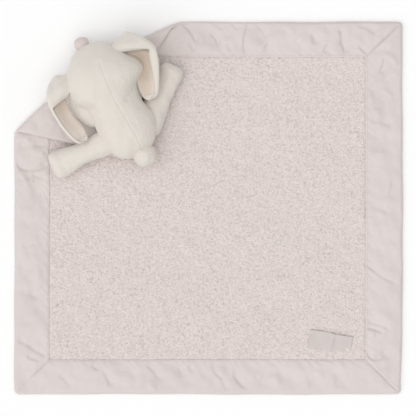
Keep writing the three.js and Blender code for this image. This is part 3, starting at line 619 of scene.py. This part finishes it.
def backing_panel():
    """The plain satin behind the pile, which shows on the turned-over corner."""
    points, rows, columns = panel_grid(BACKING_STEP, BACKING_COARSE)
    mid, broad = waves(points, mid_waves), waves(points, long_waves)
    past = np.linalg.norm(points[:, :2] - FOLD_CENTRE, axis=1) - FOLD_RADIUS
    points[:, 2] = BACKING_TOP - 0.35 * (1 + 0.5 * mid) - smoothstep(past, 2, 16) * 0.5 * (mid + broad)
    obj = mesh_object("backing_panel", folded(points), flipped(grid_faces(rows, columns)), backing_satin)
    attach(obj, "root")


# A stitch: places along it with the share of its thickness there, and how far its middle bows up
STITCH_RINGS = [(-0.5, 0.25), (-0.3, 0.9), (0.0, 1.0), (0.3, 0.9), (0.5, 0.25)]
STITCH_BOW = 0.12


def stitch_points(place, direction, length, thick, sides):
    """Rings of points round one short stitch."""
    d = direction / np.linalg.norm(direction)
    side = np.cross([0, 0, 1], d)
    side = side / (np.linalg.norm(side) + 1e-9)
    up = np.cross(d, side)
    points = []
    for along, share in STITCH_RINGS:
        r = thick / 2 * share
        lift = STITCH_BOW * (1 - (2 * along) ** 2)
        for i in range(sides):
            a = 2 * math.pi * i / sides
            points.append(place + d * along * length + side * r * math.cos(a) + up * (r * math.sin(a) + lift))
    return points


def stitch_line(name, places, directions, material, length=2.0, thick=0.36, sides=5):
    """A row of short stitches, each a small closed bead of thread."""
    rings = len(STITCH_RINGS)
    bead = grid_faces(rings, sides, wrap=True)
    bead += [tuple(reversed(range(sides))), tuple(range((rings - 1) * sides, rings * sides))]
    points, faces = [], []
    for place, direction in zip(places, directions):
        faces += shifted(bead, len(points))
        points += stitch_points(place, direction, length, thick, sides)
    return mesh_object(name, points, faces, material)


STITCH_INSET, STITCH_STEP, STITCH_HEIGHT = 2.2, 3.1, 3.62


def binding_stitches():
    """One row of stitches along the inner edge of each strip."""
    inset = BORDER - STITCH_INSET
    half = np.array([WIDTH / 2 - inset, DEPTH / 2 - inset])
    places, ahead = [], []
    for side in range(4):
        a, b = np.array(CORNERS[side]) * half, np.array(CORNERS[(side + 1) % 4]) * half
        count = int(np.linalg.norm(b - a) / STITCH_STEP)
        places += [a + (b - a) * (i + 0.5) / count for i in range(count)]
        ahead += [(b - a) / np.linalg.norm(b - a)] * count
    places, ahead = np.array(places), np.array(ahead)
    z = STITCH_HEIGHT + satin_relief(places[:, 0], places[:, 1], inset)
    here = folded(np.column_stack([places, z]))
    further = folded(np.column_stack([places + 0.5 * ahead, z]))
    obj = stitch_line("binding_stitches", here, further - here, thread)
    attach(obj, "root")
    return obj


# Label: its size, where it lies on the pile, and the places of its stitches as shares of its size
LABEL_LENGTH, LABEL_WIDTH, LABEL_THICK, LABEL_TOP = 44.5, 18.5, 0.45, 4.7
LABEL_PLACE, LABEL_TURN, LABEL_GRID = (124.4, -138.2), -8.5, (60, 22)
STITCHED_ENDS, STITCHED_PLACES = (0.03, 0.97), np.linspace(0.12, 0.88, 5)


def label_heights(s, t):
    """The label's upper face: buckled in the middle, one corner sunk and its upper edge standing off."""
    buckle = 1.9 * bell(s - 0.05 * t, 0.5, 0.055) * (0.2 + 0.8 * t)
    ripple = 0.25 * np.sin(s * 16 + 3 * t) + 0.5 * bell(s, 0.22, 0.14) * (1 - t)
    upper_edge = 1.5 * smoothstep(t, 0.72, 1) * (0.6 + 0.4 * np.sin(s * 9 + 1))
    sunk = 1.5 * smoothstep(s, 0.7, 1) * (1 - smoothstep(t, 0.1, 0.6)) + 0.5 * (1 - smoothstep(t, 0, 0.15))
    return LABEL_TOP + buckle + ripple + upper_edge - sunk


def label_place(s, t):
    """Where a share of the label's length and of its width lies, before its buckle draws it in."""
    return (s - 0.5) * LABEL_LENGTH, (t - 0.5) * LABEL_WIDTH + 0.5 * np.sin(s * 5)


def label_stitches():
    """A few stitches across each end of the label."""
    places, ahead = [], []
    for end in STITCHED_ENDS:
        for across in STITCHED_PLACES:
            x, y = turned(*label_place(end, across), LABEL_TURN, LABEL_PLACE)
            places.append([x, y, 5.0 - 1.2 * (end > 0.5) * (1 - across)])
            ahead.append([*turned(0, 1, LABEL_TURN, (0, 0)), 0])
    obj = stitch_line("label_stitches", np.array(places), np.array(ahead), thread, 2.4)
    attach(obj, "root")
    return obj


def label():
    """A short woven ribbon, sewn on at both ends."""
    s, t = grid_shares(*LABEL_GRID)
    x, y = label_place(s, t)
    x, y = turned(x, y - 1.6 * smoothstep(s, 0.46, 0.54) * (1 - s), LABEL_TURN, LABEL_PLACE)
    top = label_heights(s, t)
    points = np.concatenate([np.column_stack([x, y, top]), np.column_stack([x, y, top - LABEL_THICK])])
    obj = mesh_object("label_ribbon", points, flipped(layer_faces(*LABEL_GRID)), label_satin)
    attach(obj, "root")
    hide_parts("woven_label")
    label_stitches()


# Rabbit
def on_blanket(points):
    """Points in the rabbit's frame, taken to the blanket's."""
    p = np.asarray(points, float)
    x, y = turned(p[:, 0], p[:, 1], RABBIT_TURN, RABBIT)
    return np.stack([x, y, p[:, 2]], axis=1)


# How square the lofted forms are above and below their waist: 2 is an ellipse
CROWN_POWER, BELLY_POWER = 2.1, 2.4


def loft(stations, ring):
    """Closed rounded form. A station is place, left, right, low, high and waist; left is negative."""
    turns = np.linspace(0, 2 * math.pi, ring, endpoint=False)
    cos, sin = np.cos(turns), np.sin(turns)
    power = np.where(sin < 0, 2 / BELLY_POWER, 2 / CROWN_POWER)
    first, last = (np.array([[end[0], (end[1] + end[2]) / 2, end[5]]]) for end in (stations[0], stations[-1]))
    points = [first]
    for place, left, right, low, high, waist in stations[1:-1]:
        y = (left + right) / 2 + np.sign(cos) * np.abs(cos) ** power * (right - left) / 2
        z = waist + np.where(sin < 0, low - waist, high - waist) * np.abs(sin) ** power
        points.append(np.stack([np.full(ring, place), y, z], axis=1))
    return np.concatenate(points + [last]), closed_faces(len(stations) - 2, ring)


def station(place, middle, half, heights, side_share, height_share):
    """A station of a loft. Heights are low, high and waist, and the shares draw it in to its ends."""
    low, high, waist = heights
    side = half * side_share
    return (place, middle - side, middle + side, mixed(waist, low, height_share),
            mixed(waist, high, height_share), waist)


def made_mesh(obj):
    """The object's mesh with its modifiers worked out, which then leave it."""
    graph = bpy.context.evaluated_depsgraph_get()
    mesh = bpy.data.meshes.new_from_object(obj.evaluated_get(graph), depsgraph=graph)
    obj.modifiers.clear()
    obj.data = mesh
    return mesh


def places_of(mesh):
    flat = np.empty(len(mesh.vertices) * 3)
    mesh.vertices.foreach_get("co", flat)
    return flat.reshape(-1, 3)


# The fill: size of the even mesh, pressure, mass and quality of the cloth, frames, and final subdivisions
VOXEL, PRESSURE, CLOTH_MASS, CLOTH_QUALITY, SIMULATED, SUBDIVISIONS = 3.2, 4.0, 0.3, 5, 20, 2


def swollen(obj):
    """Runs a short cloth simulation under pressure on the object and keeps its result."""
    cloth = obj.modifiers.new("cloth", "CLOTH")
    cloth.settings.quality = CLOTH_QUALITY
    cloth.settings.mass = CLOTH_MASS
    cloth.settings.use_pressure = True
    cloth.settings.uniform_pressure_force = PRESSURE
    cloth.settings.effector_weights.gravity = 0
    cloth.point_cache.frame_start = 1
    cloth.point_cache.frame_end = SIMULATED
    for step in range(1, SIMULATED + 1):
        bpy.context.scene.frame_set(step)
    return places_of(made_mesh(obj))


def stuffed(points, faces, most):
    """The form as its fill swells it, on an even mesh, then smoothed.

    No point moves further than the given distance, so the piece stays in its own space.
    """
    obj = mesh_object("form", points, faces, plush)
    even = obj.modifiers.new("even", "REMESH")
    even.mode = "VOXEL"
    even.voxel_size = VOXEL * MM
    before = places_of(made_mesh(obj))
    move = swollen(obj) - before
    far = np.linalg.norm(move, axis=1)
    held = before + move * np.minimum(1, most * MM / np.maximum(far, 1e-9))[:, None]
    obj.data.vertices.foreach_set("co", held.ravel())
    obj.modifiers.new("smooth", "SUBSURF").levels = SUBDIVISIONS
    mesh = made_mesh(obj)
    done = places_of(mesh) / MM, [tuple(face.vertices) for face in mesh.polygons]
    bpy.data.objects.remove(obj)
    bpy.context.scene.frame_set(1)
    print("stuffed", len(before), "points, moved", float(far.mean() / MM), float(far.max() / MM), "mm")
    return done


def even_ends(low, high, count):
    """Places from low to high, closer together near the two ends."""
    t = np.linspace(0, math.pi, count)
    return 0.5 * np.linspace(low, high, count) + 0.5 * (low + (high - low) * (1 - np.cos(t)) / 2)


def cap(place, low, high, round_low, round_high, power):
    """1 in the middle of a form, falling to 0 at its two rounded ends."""
    x = max(0.0, 1 - (place - low) / round_low) if place < low + round_low else 0.0
    y = max(0.0, 1 - (high - place) / round_high) if place > high - round_high else 0.0
    return (1 - x ** power) ** (1 / power) * (1 - y ** power) ** (1 / power)


GROOVES_ABOVE = 24.0


def groove(points, path, depth, width):
    """A seam pressed into the upper side along a path of places (a, b)."""
    best = np.full(len(points), 1e9)
    for (a0, b0), (a1, b1) in zip(path, path[1:]):
        d = np.array([a1 - a0, b1 - b0])
        t = np.clip(((points[:, 0] - a0) * d[0] + (points[:, 1] - b0) * d[1]) / (d @ d), 0, 1)
        away = np.hypot(points[:, 0] - a0 - t * d[0], points[:, 1] - b0 - t * d[1])
        best = np.minimum(best, away)
    return depth * bell(best, 0, width) * (points[:, 2] > GROOVES_ABOVE)


body_waves = make_waves(18, 34, 9, 31)
nap_waves = make_waves(40, 5, 1.8, 32)
NAP = 0.04

# Head and body along the rabbit: how far they reach to the left and right of its middle, and their heights
trunk_left = curve([
    (-69, 4), (-67.5, 12), (-64, 18), (-59, 22), (-52, 30), (-40, 36.5), (-28, 39), (-19, 37), (-11.4, 32),
    (-7, 30.5), (0, 30), (9, 31), (17.5, 32.5), (30, 32), (40, 30), (47, 27), (55, 19), (58, 13)])
trunk_right = curve([
    (-69, 6), (-66, 16), (-60, 22), (-53, 27), (-45, 32), (-36.8, 37.8), (-30, 41.5), (-24.5, 43.3),
    (-19, 41.6), (-14, 36.5), (-7, 28), (-2, 26.2), (4, 24.6), (10, 24.3), (23, 26.5), (33, 25.5),
    (43.7, 20.5), (53, 13), (58, 8)])
trunk_top = curve([
    (-70, 34), (-60, 43), (-50, 51), (-40, 56), (-29, 57.6), (-18, 55), (-8, 50), (0, 47.2), (8, 46.2),
    (20, 46.6), (30, 46.4), (40, 44), (50, 38.5), (58, 31)])
trunk_low = curve([
    (-70, 15.5), (-62, 11.5), (-50, ON_FLAP), (-20, ON_FLAP), (0, ON_FLAP), (40, ON_FLAP), (58, 12)])
trunk_waist = curve([(-70, 27), (-50, 30), (-20, 30), (0, 27.5), (20, 27), (58, 26)])
TRUNK_ENDS = (-69.5, 58.6)

# The fill rounds the form out, which draws its sides in by about this much
DRAWN_IN = 1.3

BACK_SEAM = [(-46, 6), (-32, 3.7), (-7.5, 0.4), (17.8, 0.3), (40, 1), (54, -1)]
RIGHT_NECK = [(-13, 42), (-9, 31), (-3, 20), (1, 11)]
LEFT_NECK = [(-13, -37), (-9.8, -31), (-7, -24)]


def trunk():
    """Head and body in one skin: the neck is a narrowing of it, drawn in by the seam at both sides."""
    stations = []
    for place in even_ends(*TRUNK_ENDS, 150):
        c = cap(place, *TRUNK_ENDS, 9, 10, 2.2)
        left, right = -trunk_left(place) - DRAWN_IN, trunk_right(place) + DRAWN_IN
        edge = 0.35 + 0.65 * c if c < 1 else 1
        heights = trunk_low(place), trunk_top(place), trunk_waist(place)
        stations.append(station(place, (left + right) / 2, (right - left) / 2, heights, c ** 0.6, c * edge))
    points, faces = stuffed(*loft(stations, 132), most=1.6)
    upper = smoothstep(points[:, 2], 24, 40)
    points[:, 2] -= groove(points, BACK_SEAM, 0.7, 1.0) - groove(points, BACK_SEAM, 0.4, 3.2)
    points[:, 2] -= upper * groove(points, RIGHT_NECK, 1.9, 3.2)
    points[:, 2] -= groove(points, LEFT_NECK, 2.0, 2.6)
    points[:, 2] += upper * 0.22 * waves(points, body_waves)
    points[:, 1] += 0.2 * waves(points + 50, body_waves)
    points += NAP * waves(points, nap_waves)[:, None]
    obj = mesh_object("head_and_body", on_blanket(points), faces, plush)
    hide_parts("head_cover", "body_cover", "head_stuffing", "body_stuffing")
    return obj, BVHTree.FromPolygons(points.tolist(), faces)


# Legs: the hip, the heading from it, where the foot ends, how far the root lies above the cloth, and the
# stretch along which a leg comes down from there
LEG_ROOT, ANKLE = -17.0, 48.0
LEG_HEIGHT = curve([(-17, 24.5), (0, 24), (15, 21), (30, 19.4), (45, 20.6), (56, 21.6), (61, 21)])
OFF_FLAP_START, OFF_FLAP_END = 26.4, 48.0
LEGS = {
    "left_leg": dict(
        hip=(27.7, -30.8), heading=-95, blend_heading=-95, end=60.6, root_rest=FLAP_TOP - CLOTH, seed=51,
        width=curve([(-17, 14.5), (0, 14), (15, 12.6), (30, 12.4), (42, 14.2), (52, 15.9), (61, 16.2)])),
    "right_leg": dict(
        hip=(28.6, 22.6), heading=126.5, blend_heading=126, end=59.2, root_rest=0.0, seed=52,
        width=curve([(-17, 15), (0, 14.6), (15, 13), (30, 12.2), (42, 12.5), (52, 13.2), (61, 13.4)])),
}


def leg(name):
    """A leg along its own x, turned and moved to its hip. Its root runs on into the body."""
    own = LEGS[name]
    stations = []
    for place in even_ends(LEG_ROOT, own["end"], 64):
        c = cap(place, LEG_ROOT, own["end"], 8, 12, 2.2)
        bottom = ON_CLOTH + own["root_rest"] * (1 - smoothstep(place, OFF_FLAP_START, OFF_FLAP_END))
        top = bottom + LEG_HEIGHT(place)
        heights = bottom, top, (bottom + top) / 2 - 0.5
        stations.append(station(place, 0.0, own["width"](place), heights, c ** 0.45, c))
    points, faces = stuffed(*loft(stations, 64), most=1.0)
    made = make_waves(14, 24, 7, own["seed"])
    points[:, 2] += 0.25 * waves(points, made) * smoothstep(points[:, 2], 8, 18)
    points[:, 1] += 0.22 * waves(points + 31, made)
    points += NAP * waves(points, nap_waves)[:, None]
    points[:, 2] -= 0.8 * bell(points[:, 0], ANKLE, 3.2) * smoothstep(points[:, 2], 14, 24)
    a, b = turned(points[:, 0], points[:, 1], own["heading"], own["hip"])
    obj = mesh_object(name + "_skin", on_blanket(np.column_stack([a, b, points[:, 2]])), faces, plush)
    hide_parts(name + "_cover", name + "_stuffing")
    return obj


# Arms: widths, bow and outward swelling from the root to the paw, and heights over the turned-over corner
ARM_ENDS, ARM_ROOT = (-44.0, 12.0), 10.0
ARM_MIDDLE, ARM_ASIDE, ARM_WIDEST = -1.8, 20.0, 10.5
ARM_HEIGHT, SWELL_HEIGHT = 17.5, 3.0
ARM_WIDTH = curve([(0, 10), (20, 10.6), (40, 9.8), (54, 8.8)])
ARM_BOW = curve([(0, -6), (13.5, 3.5), (30, 9), (43, 7), (54, 2.7)])
ARM_SWELL = curve(
    [(-2, 6.0), (2, 6.5), (8, 6.5), (12, 5.5), (22, 4.5), (31, 4.8), (43, 2.0), (54, 0)], steady=True)
ARMS = {"left_arm": dict(side=-1, seed=61, swell=1), "right_arm": dict(side=1, seed=62, swell=0)}


def arm(name):
    """An arm under the head: it leaves the body's side and its paw points forwards."""
    own = ARMS[name]
    stations = []
    for place in even_ends(*ARM_ENDS, 44):
        c = cap(place, *ARM_ENDS, 7, 7, 2.3)
        along = ARM_ROOT - place
        half = ARM_WIDTH(along)
        middle = ARM_MIDDLE + own["side"] * (ARM_ASIDE + ARM_BOW(along))
        top = ON_FLAP + (ARM_HEIGHT + SWELL_HEIGHT * own["swell"]) * half / ARM_WIDEST
        heights = ON_FLAP, top, (ON_FLAP + top) / 2
        _, left, *others = station(place, middle, half, heights, c ** 0.6, c)
        stations.append((place, left - own["swell"] * ARM_SWELL(along) * c, *others))
    points, faces = loft(stations, 40)
    points[:, 2] += 0.4 * waves(points, make_waves(12, 20, 7, own["seed"]))
    obj = mesh_object(name + "_skin", on_blanket(points), faces, plush)
    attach(obj, "root")
    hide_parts(name + "_cover", name + "_stuffing")


# Ears: each leaf lies back along the side of the head. Near its root the outer half turns up and over to the
# head as a hood. Behind the hood it lies open inside a rolled rim. The curves are shares of its reach.
EAR_LENGTH, EAR_REACH, EAR_BACK = 73.5, 20.0, 1.8
HOOD_CURL, RIM_CURL, FRONT_CURL, HOOD_RISE = 3.8, 0.5, 0.25, 1.0
FRONT_SHARE, HOOD_END, OPEN_SHARE = 0.22, 0.27, 0.42
UNDER_SHARE, CURL_SHARE = 0.46, 0.3
TIP_CUP, LEAST_OVER = 2.2, 0.4

LEFT_FRONT = [(0, -0.2), (0.04, -0.45), (0.08, -0.7), (0.15, -0.8), (0.2, -0.7)]
RIGHT_FRONT = [(0, -0.25), (0.04, -0.5), (0.09, -0.85), (0.16, -1.0)]
EARS = {
    "left_ear": dict(
        side=-1, base=(-56.0, -42.0, 35.0), heading=0.0, seed=41,
        droop=1.5, cup=2.4, sag=0.8, crease=0.0, tuck=3.0,
        outer=curve([(0, 0.12), (0.065, 0.45), (0.14, 0.7), (0.237, 0.91), (0.388, 0.99), (0.605, 0.975),
                     (0.75, 0.9), (0.867, 0.8), (0.93, 0.71), (0.97, 0.62), (0.99, 0.48), (1, 0.3)], True),
        inner=curve(LEFT_FRONT + [(0.3, -0.1), (0.33, 0.03), (0.48, 0.1), (0.6, 0.11), (0.72, 0.02),
                                  (0.83, -0.04), (0.93, 0), (0.98, 0.08), (1, 0.2)], True),
        over=curve(LEFT_FRONT + [(0.31, -0.3), (0.34, 0), (0.378, 0.8), (0.42, 1), (1, 1)], True)),
    "right_ear": dict(
        side=1, base=(-59.0, 45.6, 35.0), heading=-12.0, seed=42,
        droop=2.0, cup=5.4, sag=2.4, crease=1.6, tuck=4.6,
        outer=curve([(0, 0.05), (0.085, 0.45), (0.19, 0.815), (0.34, 1.135), (0.5, 1.085), (0.73, 0.86),
                     (0.87, 0.68), (0.93, 0.58), (0.97, 0.46), (0.99, 0.34), (1, 0.2)], True),
        inner=curve(RIGHT_FRONT + [(0.24, -0.8), (0.35, -0.4), (0.6, -0.32), (0.82, -0.31), (0.93, -0.26),
                                   (0.98, -0.15), (1, -0.02)], True),
        over=curve(RIGHT_FRONT + [(0.22, -0.85), (0.262, -0.5), (0.29, 0.05), (0.32, 0.6), (0.345, 0.755),
                                  (0.37, 0.73), (0.418, 0.69), (0.6, 0.62), (0.75, 0.54), (0.93, 0.385),
                                  (1, 0.1)], True)),
}

# An ear's two layers: lowest and highest level, first and last place along the leaf, how far across it they
# reach, how far in from the inner edge they start, and their columns
EAR_ROWS, EAR_ACROSS = 110, 40.0
EAR_PLUSH = dict(levels=(0.0, EAR_BACK), ends=(0.0, 1.0), across=1.0, rim=0.0, columns=64)
HALF_TURN = UNDER_SHARE + CURL_SHARE / 2
EAR_SATIN = dict(levels=(-0.9, -0.15), ends=(0.1, 0.93), across=HALF_TURN, rim=0.9, columns=40)


def open_height(ear, along, share):
    """The leaf where it lies open: its outer side stands up, its middle sags, a crease runs to its tip."""
    cup = mixed(ear["cup"], TIP_CUP, smoothstep(along, 0.45, 1)) * smoothstep(share, 0.35, 1.02)
    sag = ear["sag"] * np.sin(math.pi * np.clip(share / 0.75, 0, 1)) * np.sin(math.pi * along)
    crease = bell(share - 0.25 * along, 0.3, 0.07) * smoothstep(along, 0.5, 0.7) * (1 - along)
    return cup - sag - ear["crease"] * crease


def ear_point(ear, along, across, level, rim):
    """Across runs under the leaf, round its outer edge and back over it. Level is outwards off the middle."""
    hooded = 1 - smoothstep(along, HOOD_END, OPEN_SHARE)
    curl = mixed(FRONT_CURL, mixed(RIM_CURL, HOOD_CURL, hooded), smoothstep(along, 0.02, FRONT_SHARE))
    outer = EAR_REACH * ear["outer"](along) - EAR_BACK - curl
    inner = EAR_REACH * ear["inner"](along) + rim
    over = np.minimum(EAR_REACH * ear["over"](along), outer - LEAST_OVER)
    under = np.clip(across / UNDER_SHARE, 0, 1)
    turn = math.pi * np.clip((across - UNDER_SHARE) / CURL_SHARE, 0, 1)
    back = np.clip((across - UNDER_SHARE - CURL_SHARE) / (1 - UNDER_SHARE - CURL_SHARE), 0, 1)
    over_run = (outer - over) * back
    aside = mixed(inner, outer, under) + (curl + level) * np.sin(turn) - over_run
    height = curl - (curl + level) * np.cos(turn) + HOOD_RISE * (over_run / EAR_REACH) ** 2
    height += hooded * (0.5 * np.sin(math.pi * back) - ear["tuck"] * smoothstep(back, 0.4, 1))
    share = np.where(back > 0, (outer - over_run - inner) / (outer - inner), under)
    height += (1 - hooded) * open_height(ear, along, share)
    height += ear["base"][2] - ear["droop"] * along ** 2
    a, b = turned(along * EAR_LENGTH, ear["side"] * aside, ear["heading"], ear["base"])
    return np.stack([a, b, height], axis=1)


def layer_thickness(layer, s, t, along):
    """Shares of a layer's thickness, less at its edges, and of its levels, less where the leaf starts."""
    low, high = layer["levels"]
    near_end, near_side = np.minimum(s, 1 - s) * EAR_LENGTH, np.minimum(t, 1 - t) * EAR_ACROSS
    from_edge = np.clip(np.minimum(near_end, near_side) / (high - low), 0, 1)
    puff = 0.3 + 0.7 * np.sqrt(1 - (1 - from_edge) ** 2)
    if layer is EAR_SATIN:
        return puff, 1.0
    puff *= mixed(0.35, 1.0, smoothstep((1 - t) * EAR_ACROSS, 0, 5))
    return puff, mixed(0.2, 1.0, smoothstep(along, 0.0, 0.07))


def ear_layer(name, ear, layer, material):
    """A thin closed layer of an ear, its edges rounded off, and the size it was cut to."""
    rows, columns = EAR_ROWS, layer["columns"]
    s, t = grid_shares(rows, columns)
    along = mixed(*layer["ends"], s)
    puff, pressed = layer_thickness(layer, s, t, along)
    low, high = layer["levels"]
    middle, half, across = (low + high) / 2, (high - low) / 2 * puff, t * layer["across"]
    upper, lower = (ear_point(ear, along, across, level * pressed, layer["rim"])
                    for level in (middle + half, middle - half))
    shift = 0.22 * waves(lower, make_waves(12, 26, 9, ear["seed"]))
    upper[:, 2] += shift
    lower[:, 2] += shift
    faces = layer_faces(rows, columns)
    if ear["side"] < 0:
        faces = flipped(faces)
    obj = mesh_object(name, on_blanket(np.concatenate([upper, lower])), faces, material)
    return obj, cut_size(((upper + lower) / 2).reshape(rows, columns, 3))


def cut_size(cloth):
    """Length and greatest width of a grid of points, measured along the cloth."""
    lengths, widths = (np.linalg.norm(np.diff(cloth, axis=way), axis=2).sum(axis=way) for way in (0, 1))
    return float(np.median(lengths)) * MM, float(widths.max()) * MM


def ear_pieces(name):
    """An ear's plush back and its satin lining."""
    back, back_cut = ear_layer(name + "_plush", EARS[name], EAR_PLUSH, plush)
    inner, inner_cut = ear_layer(name + "_satin", EARS[name], EAR_SATIN, lining)
    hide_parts(name + "_back")
    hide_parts(name + "_lining")
    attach(back, name)
    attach(inner, name)


def fluffy_ball(name, centre, radius, material, seed, squeeze, rough, segments):
    """A sewn ball: a rounded form with soft lumps and a nap."""
    rings = segments // 2
    polar = np.repeat(math.pi * np.arange(1, rings) / rings, segments)
    a = np.tile(2 * math.pi * np.arange(segments) / segments, rings - 1)
    round_it = np.column_stack([np.sin(polar) * np.cos(a), np.sin(polar) * np.sin(a), np.cos(polar)])
    points = np.concatenate([[[0, 0, 1]], round_it, [[0, 0, -1]]])
    lumps = waves(points * radius, make_waves(16, radius * 1.3, radius * 0.4, seed))
    fuzz = waves(points * radius, make_waves(40, 4, 1.4, seed + 1))
    grown = points * (radius + rough * lumps + rough * 0.35 * fuzz)[:, None] * np.array(squeeze)
    faces = flipped(closed_faces(rings - 1, segments))
    return mesh_object(name, on_blanket(grown + np.array(centre)), faces, material)


# Eyes: how far each is from the middle of the face, its half width, its height and the bow of its row
EYE_ASIDE, EYE_MIDDLE, EYE_HALF, EYE_HEIGHT, EYE_BOW = 14, -0.7, 4.4, 22.5, 2.2


def eyes(surface):
    """Two closed eyes, each a bowed row of stitches on the face, which is turned down and forwards."""
    places, ahead = [], []
    for side in (-1, 1):
        row = []
        for share in np.linspace(-1, 1, 8):
            b = side * EYE_ASIDE + share * EYE_HALF + EYE_MIDDLE
            z = EYE_HEIGHT - EYE_BOW * (1 - share ** 2)
            hit, normal, _, _ = surface.ray_cast(Vector((-150, b, z)), Vector((1, 0, 0)))
            row.append(np.array(hit) + np.array(normal) * 0.12)
        row = on_blanket(np.array(row))
        places += list((row[1:] + row[:-1]) / 2)
        ahead += list(row[1:] - row[:-1])
    obj = stitch_line("eye_stitches", np.array(places), np.array(ahead), eye_thread, 1.9, 0.9, 8)
    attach(obj, "head")


# The pieces
pile_panel()
backing_panel()
strips = [binding(side) for side in range(4)]
stitches = binding_stitches()
label()

skin, surface = trunk()
legs = {name: leg(name) for name in LEGS}
for name in ARMS:
    arm(name)
for name in EARS:
    ear_pieces(name)
eyes(surface)
nose = fluffy_ball("nose_ball", centre=(-71, -1.3, 21), radius=7.6, material=pink_plush, seed=71,
                   squeeze=(1, 1.05, 1), rough=0.2, segments=40)
tail = fluffy_ball("tail_ball", centre=(59.0, -1.6, 25.5), radius=12.1, material=plush, seed=72,
                   squeeze=(0.95, 1.0, 1.0), rough=0.22, segments=80)
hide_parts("nose")
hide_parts("tail_pompom")
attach(nose, "head")
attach(tail, "root")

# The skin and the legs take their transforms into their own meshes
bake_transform(skin)
for name, own in LEGS.items():
    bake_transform(legs[name])

# Stage, light and camera
FLOOR_HALF, FLOOR_DROP, FLOOR_TONE, WORLD_LIGHT = 3000.0, 0.4, 0.94, 0.6
white = Nodes("floor_white", grey(FLOOR_TONE), 0.9, specular=0.1).material
floor_points = [(x * FLOOR_HALF, y * FLOOR_HALF, -FLOOR_DROP) for x, y in CORNERS]
floor = mesh_object("floor", floor_points, [(0, 1, 2, 3)], white)

world = bpy.data.worlds.new("studio")
world.use_nodes = True
world.node_tree.nodes["Background"].inputs["Color"].default_value = grey(1.0)
world.node_tree.nodes["Background"].inputs["Strength"].default_value = WORLD_LIGHT


def sun_light(name, towards_light, angle, strength):
    """Even light from one direction. The wide angle gives it the soft shadow edges of a large window."""
    data = bpy.data.lights.new(name, "SUN")
    data.angle = math.radians(angle)
    data.energy = strength
    obj = linked(name, data)
    obj.rotation_mode = "QUATERNION"
    obj.rotation_quaternion = Vector(towards_light).to_track_quat("Z", "Y")


sun_light("window", (-0.9, -0.8, 1.5), angle=75, strength=1.05)
sun_light("ceiling", (0.0, 0.0, 1.0), angle=60, strength=0.62)

# The camera looks straight down on a square of the photo's width, centred on the photo's own middle
PHOTO_PIXELS, PIXEL_SIZE, PHOTO_MIDDLE = 416, 1.0256, (-1.03, -1.03)
CAMERA_HEIGHT, SENSOR = 3.2, 36
camera_data = bpy.data.cameras.new("camera")
camera_data.sensor_width = SENSOR
camera_data.lens = SENSOR * CAMERA_HEIGHT / (PHOTO_PIXELS * PIXEL_SIZE * MM)
camera_data.clip_end = 50
camera = linked("camera", camera_data)
camera.location = (PHOTO_MIDDLE[0] * MM, PHOTO_MIDDLE[1] * MM, CAMERA_HEIGHT)

scene = bpy.context.scene
scene.world = world
scene.camera = camera
scene.view_settings.view_transform = "Standard"
scene.view_settings.look = "None"
scene.view_settings.exposure = 0.0
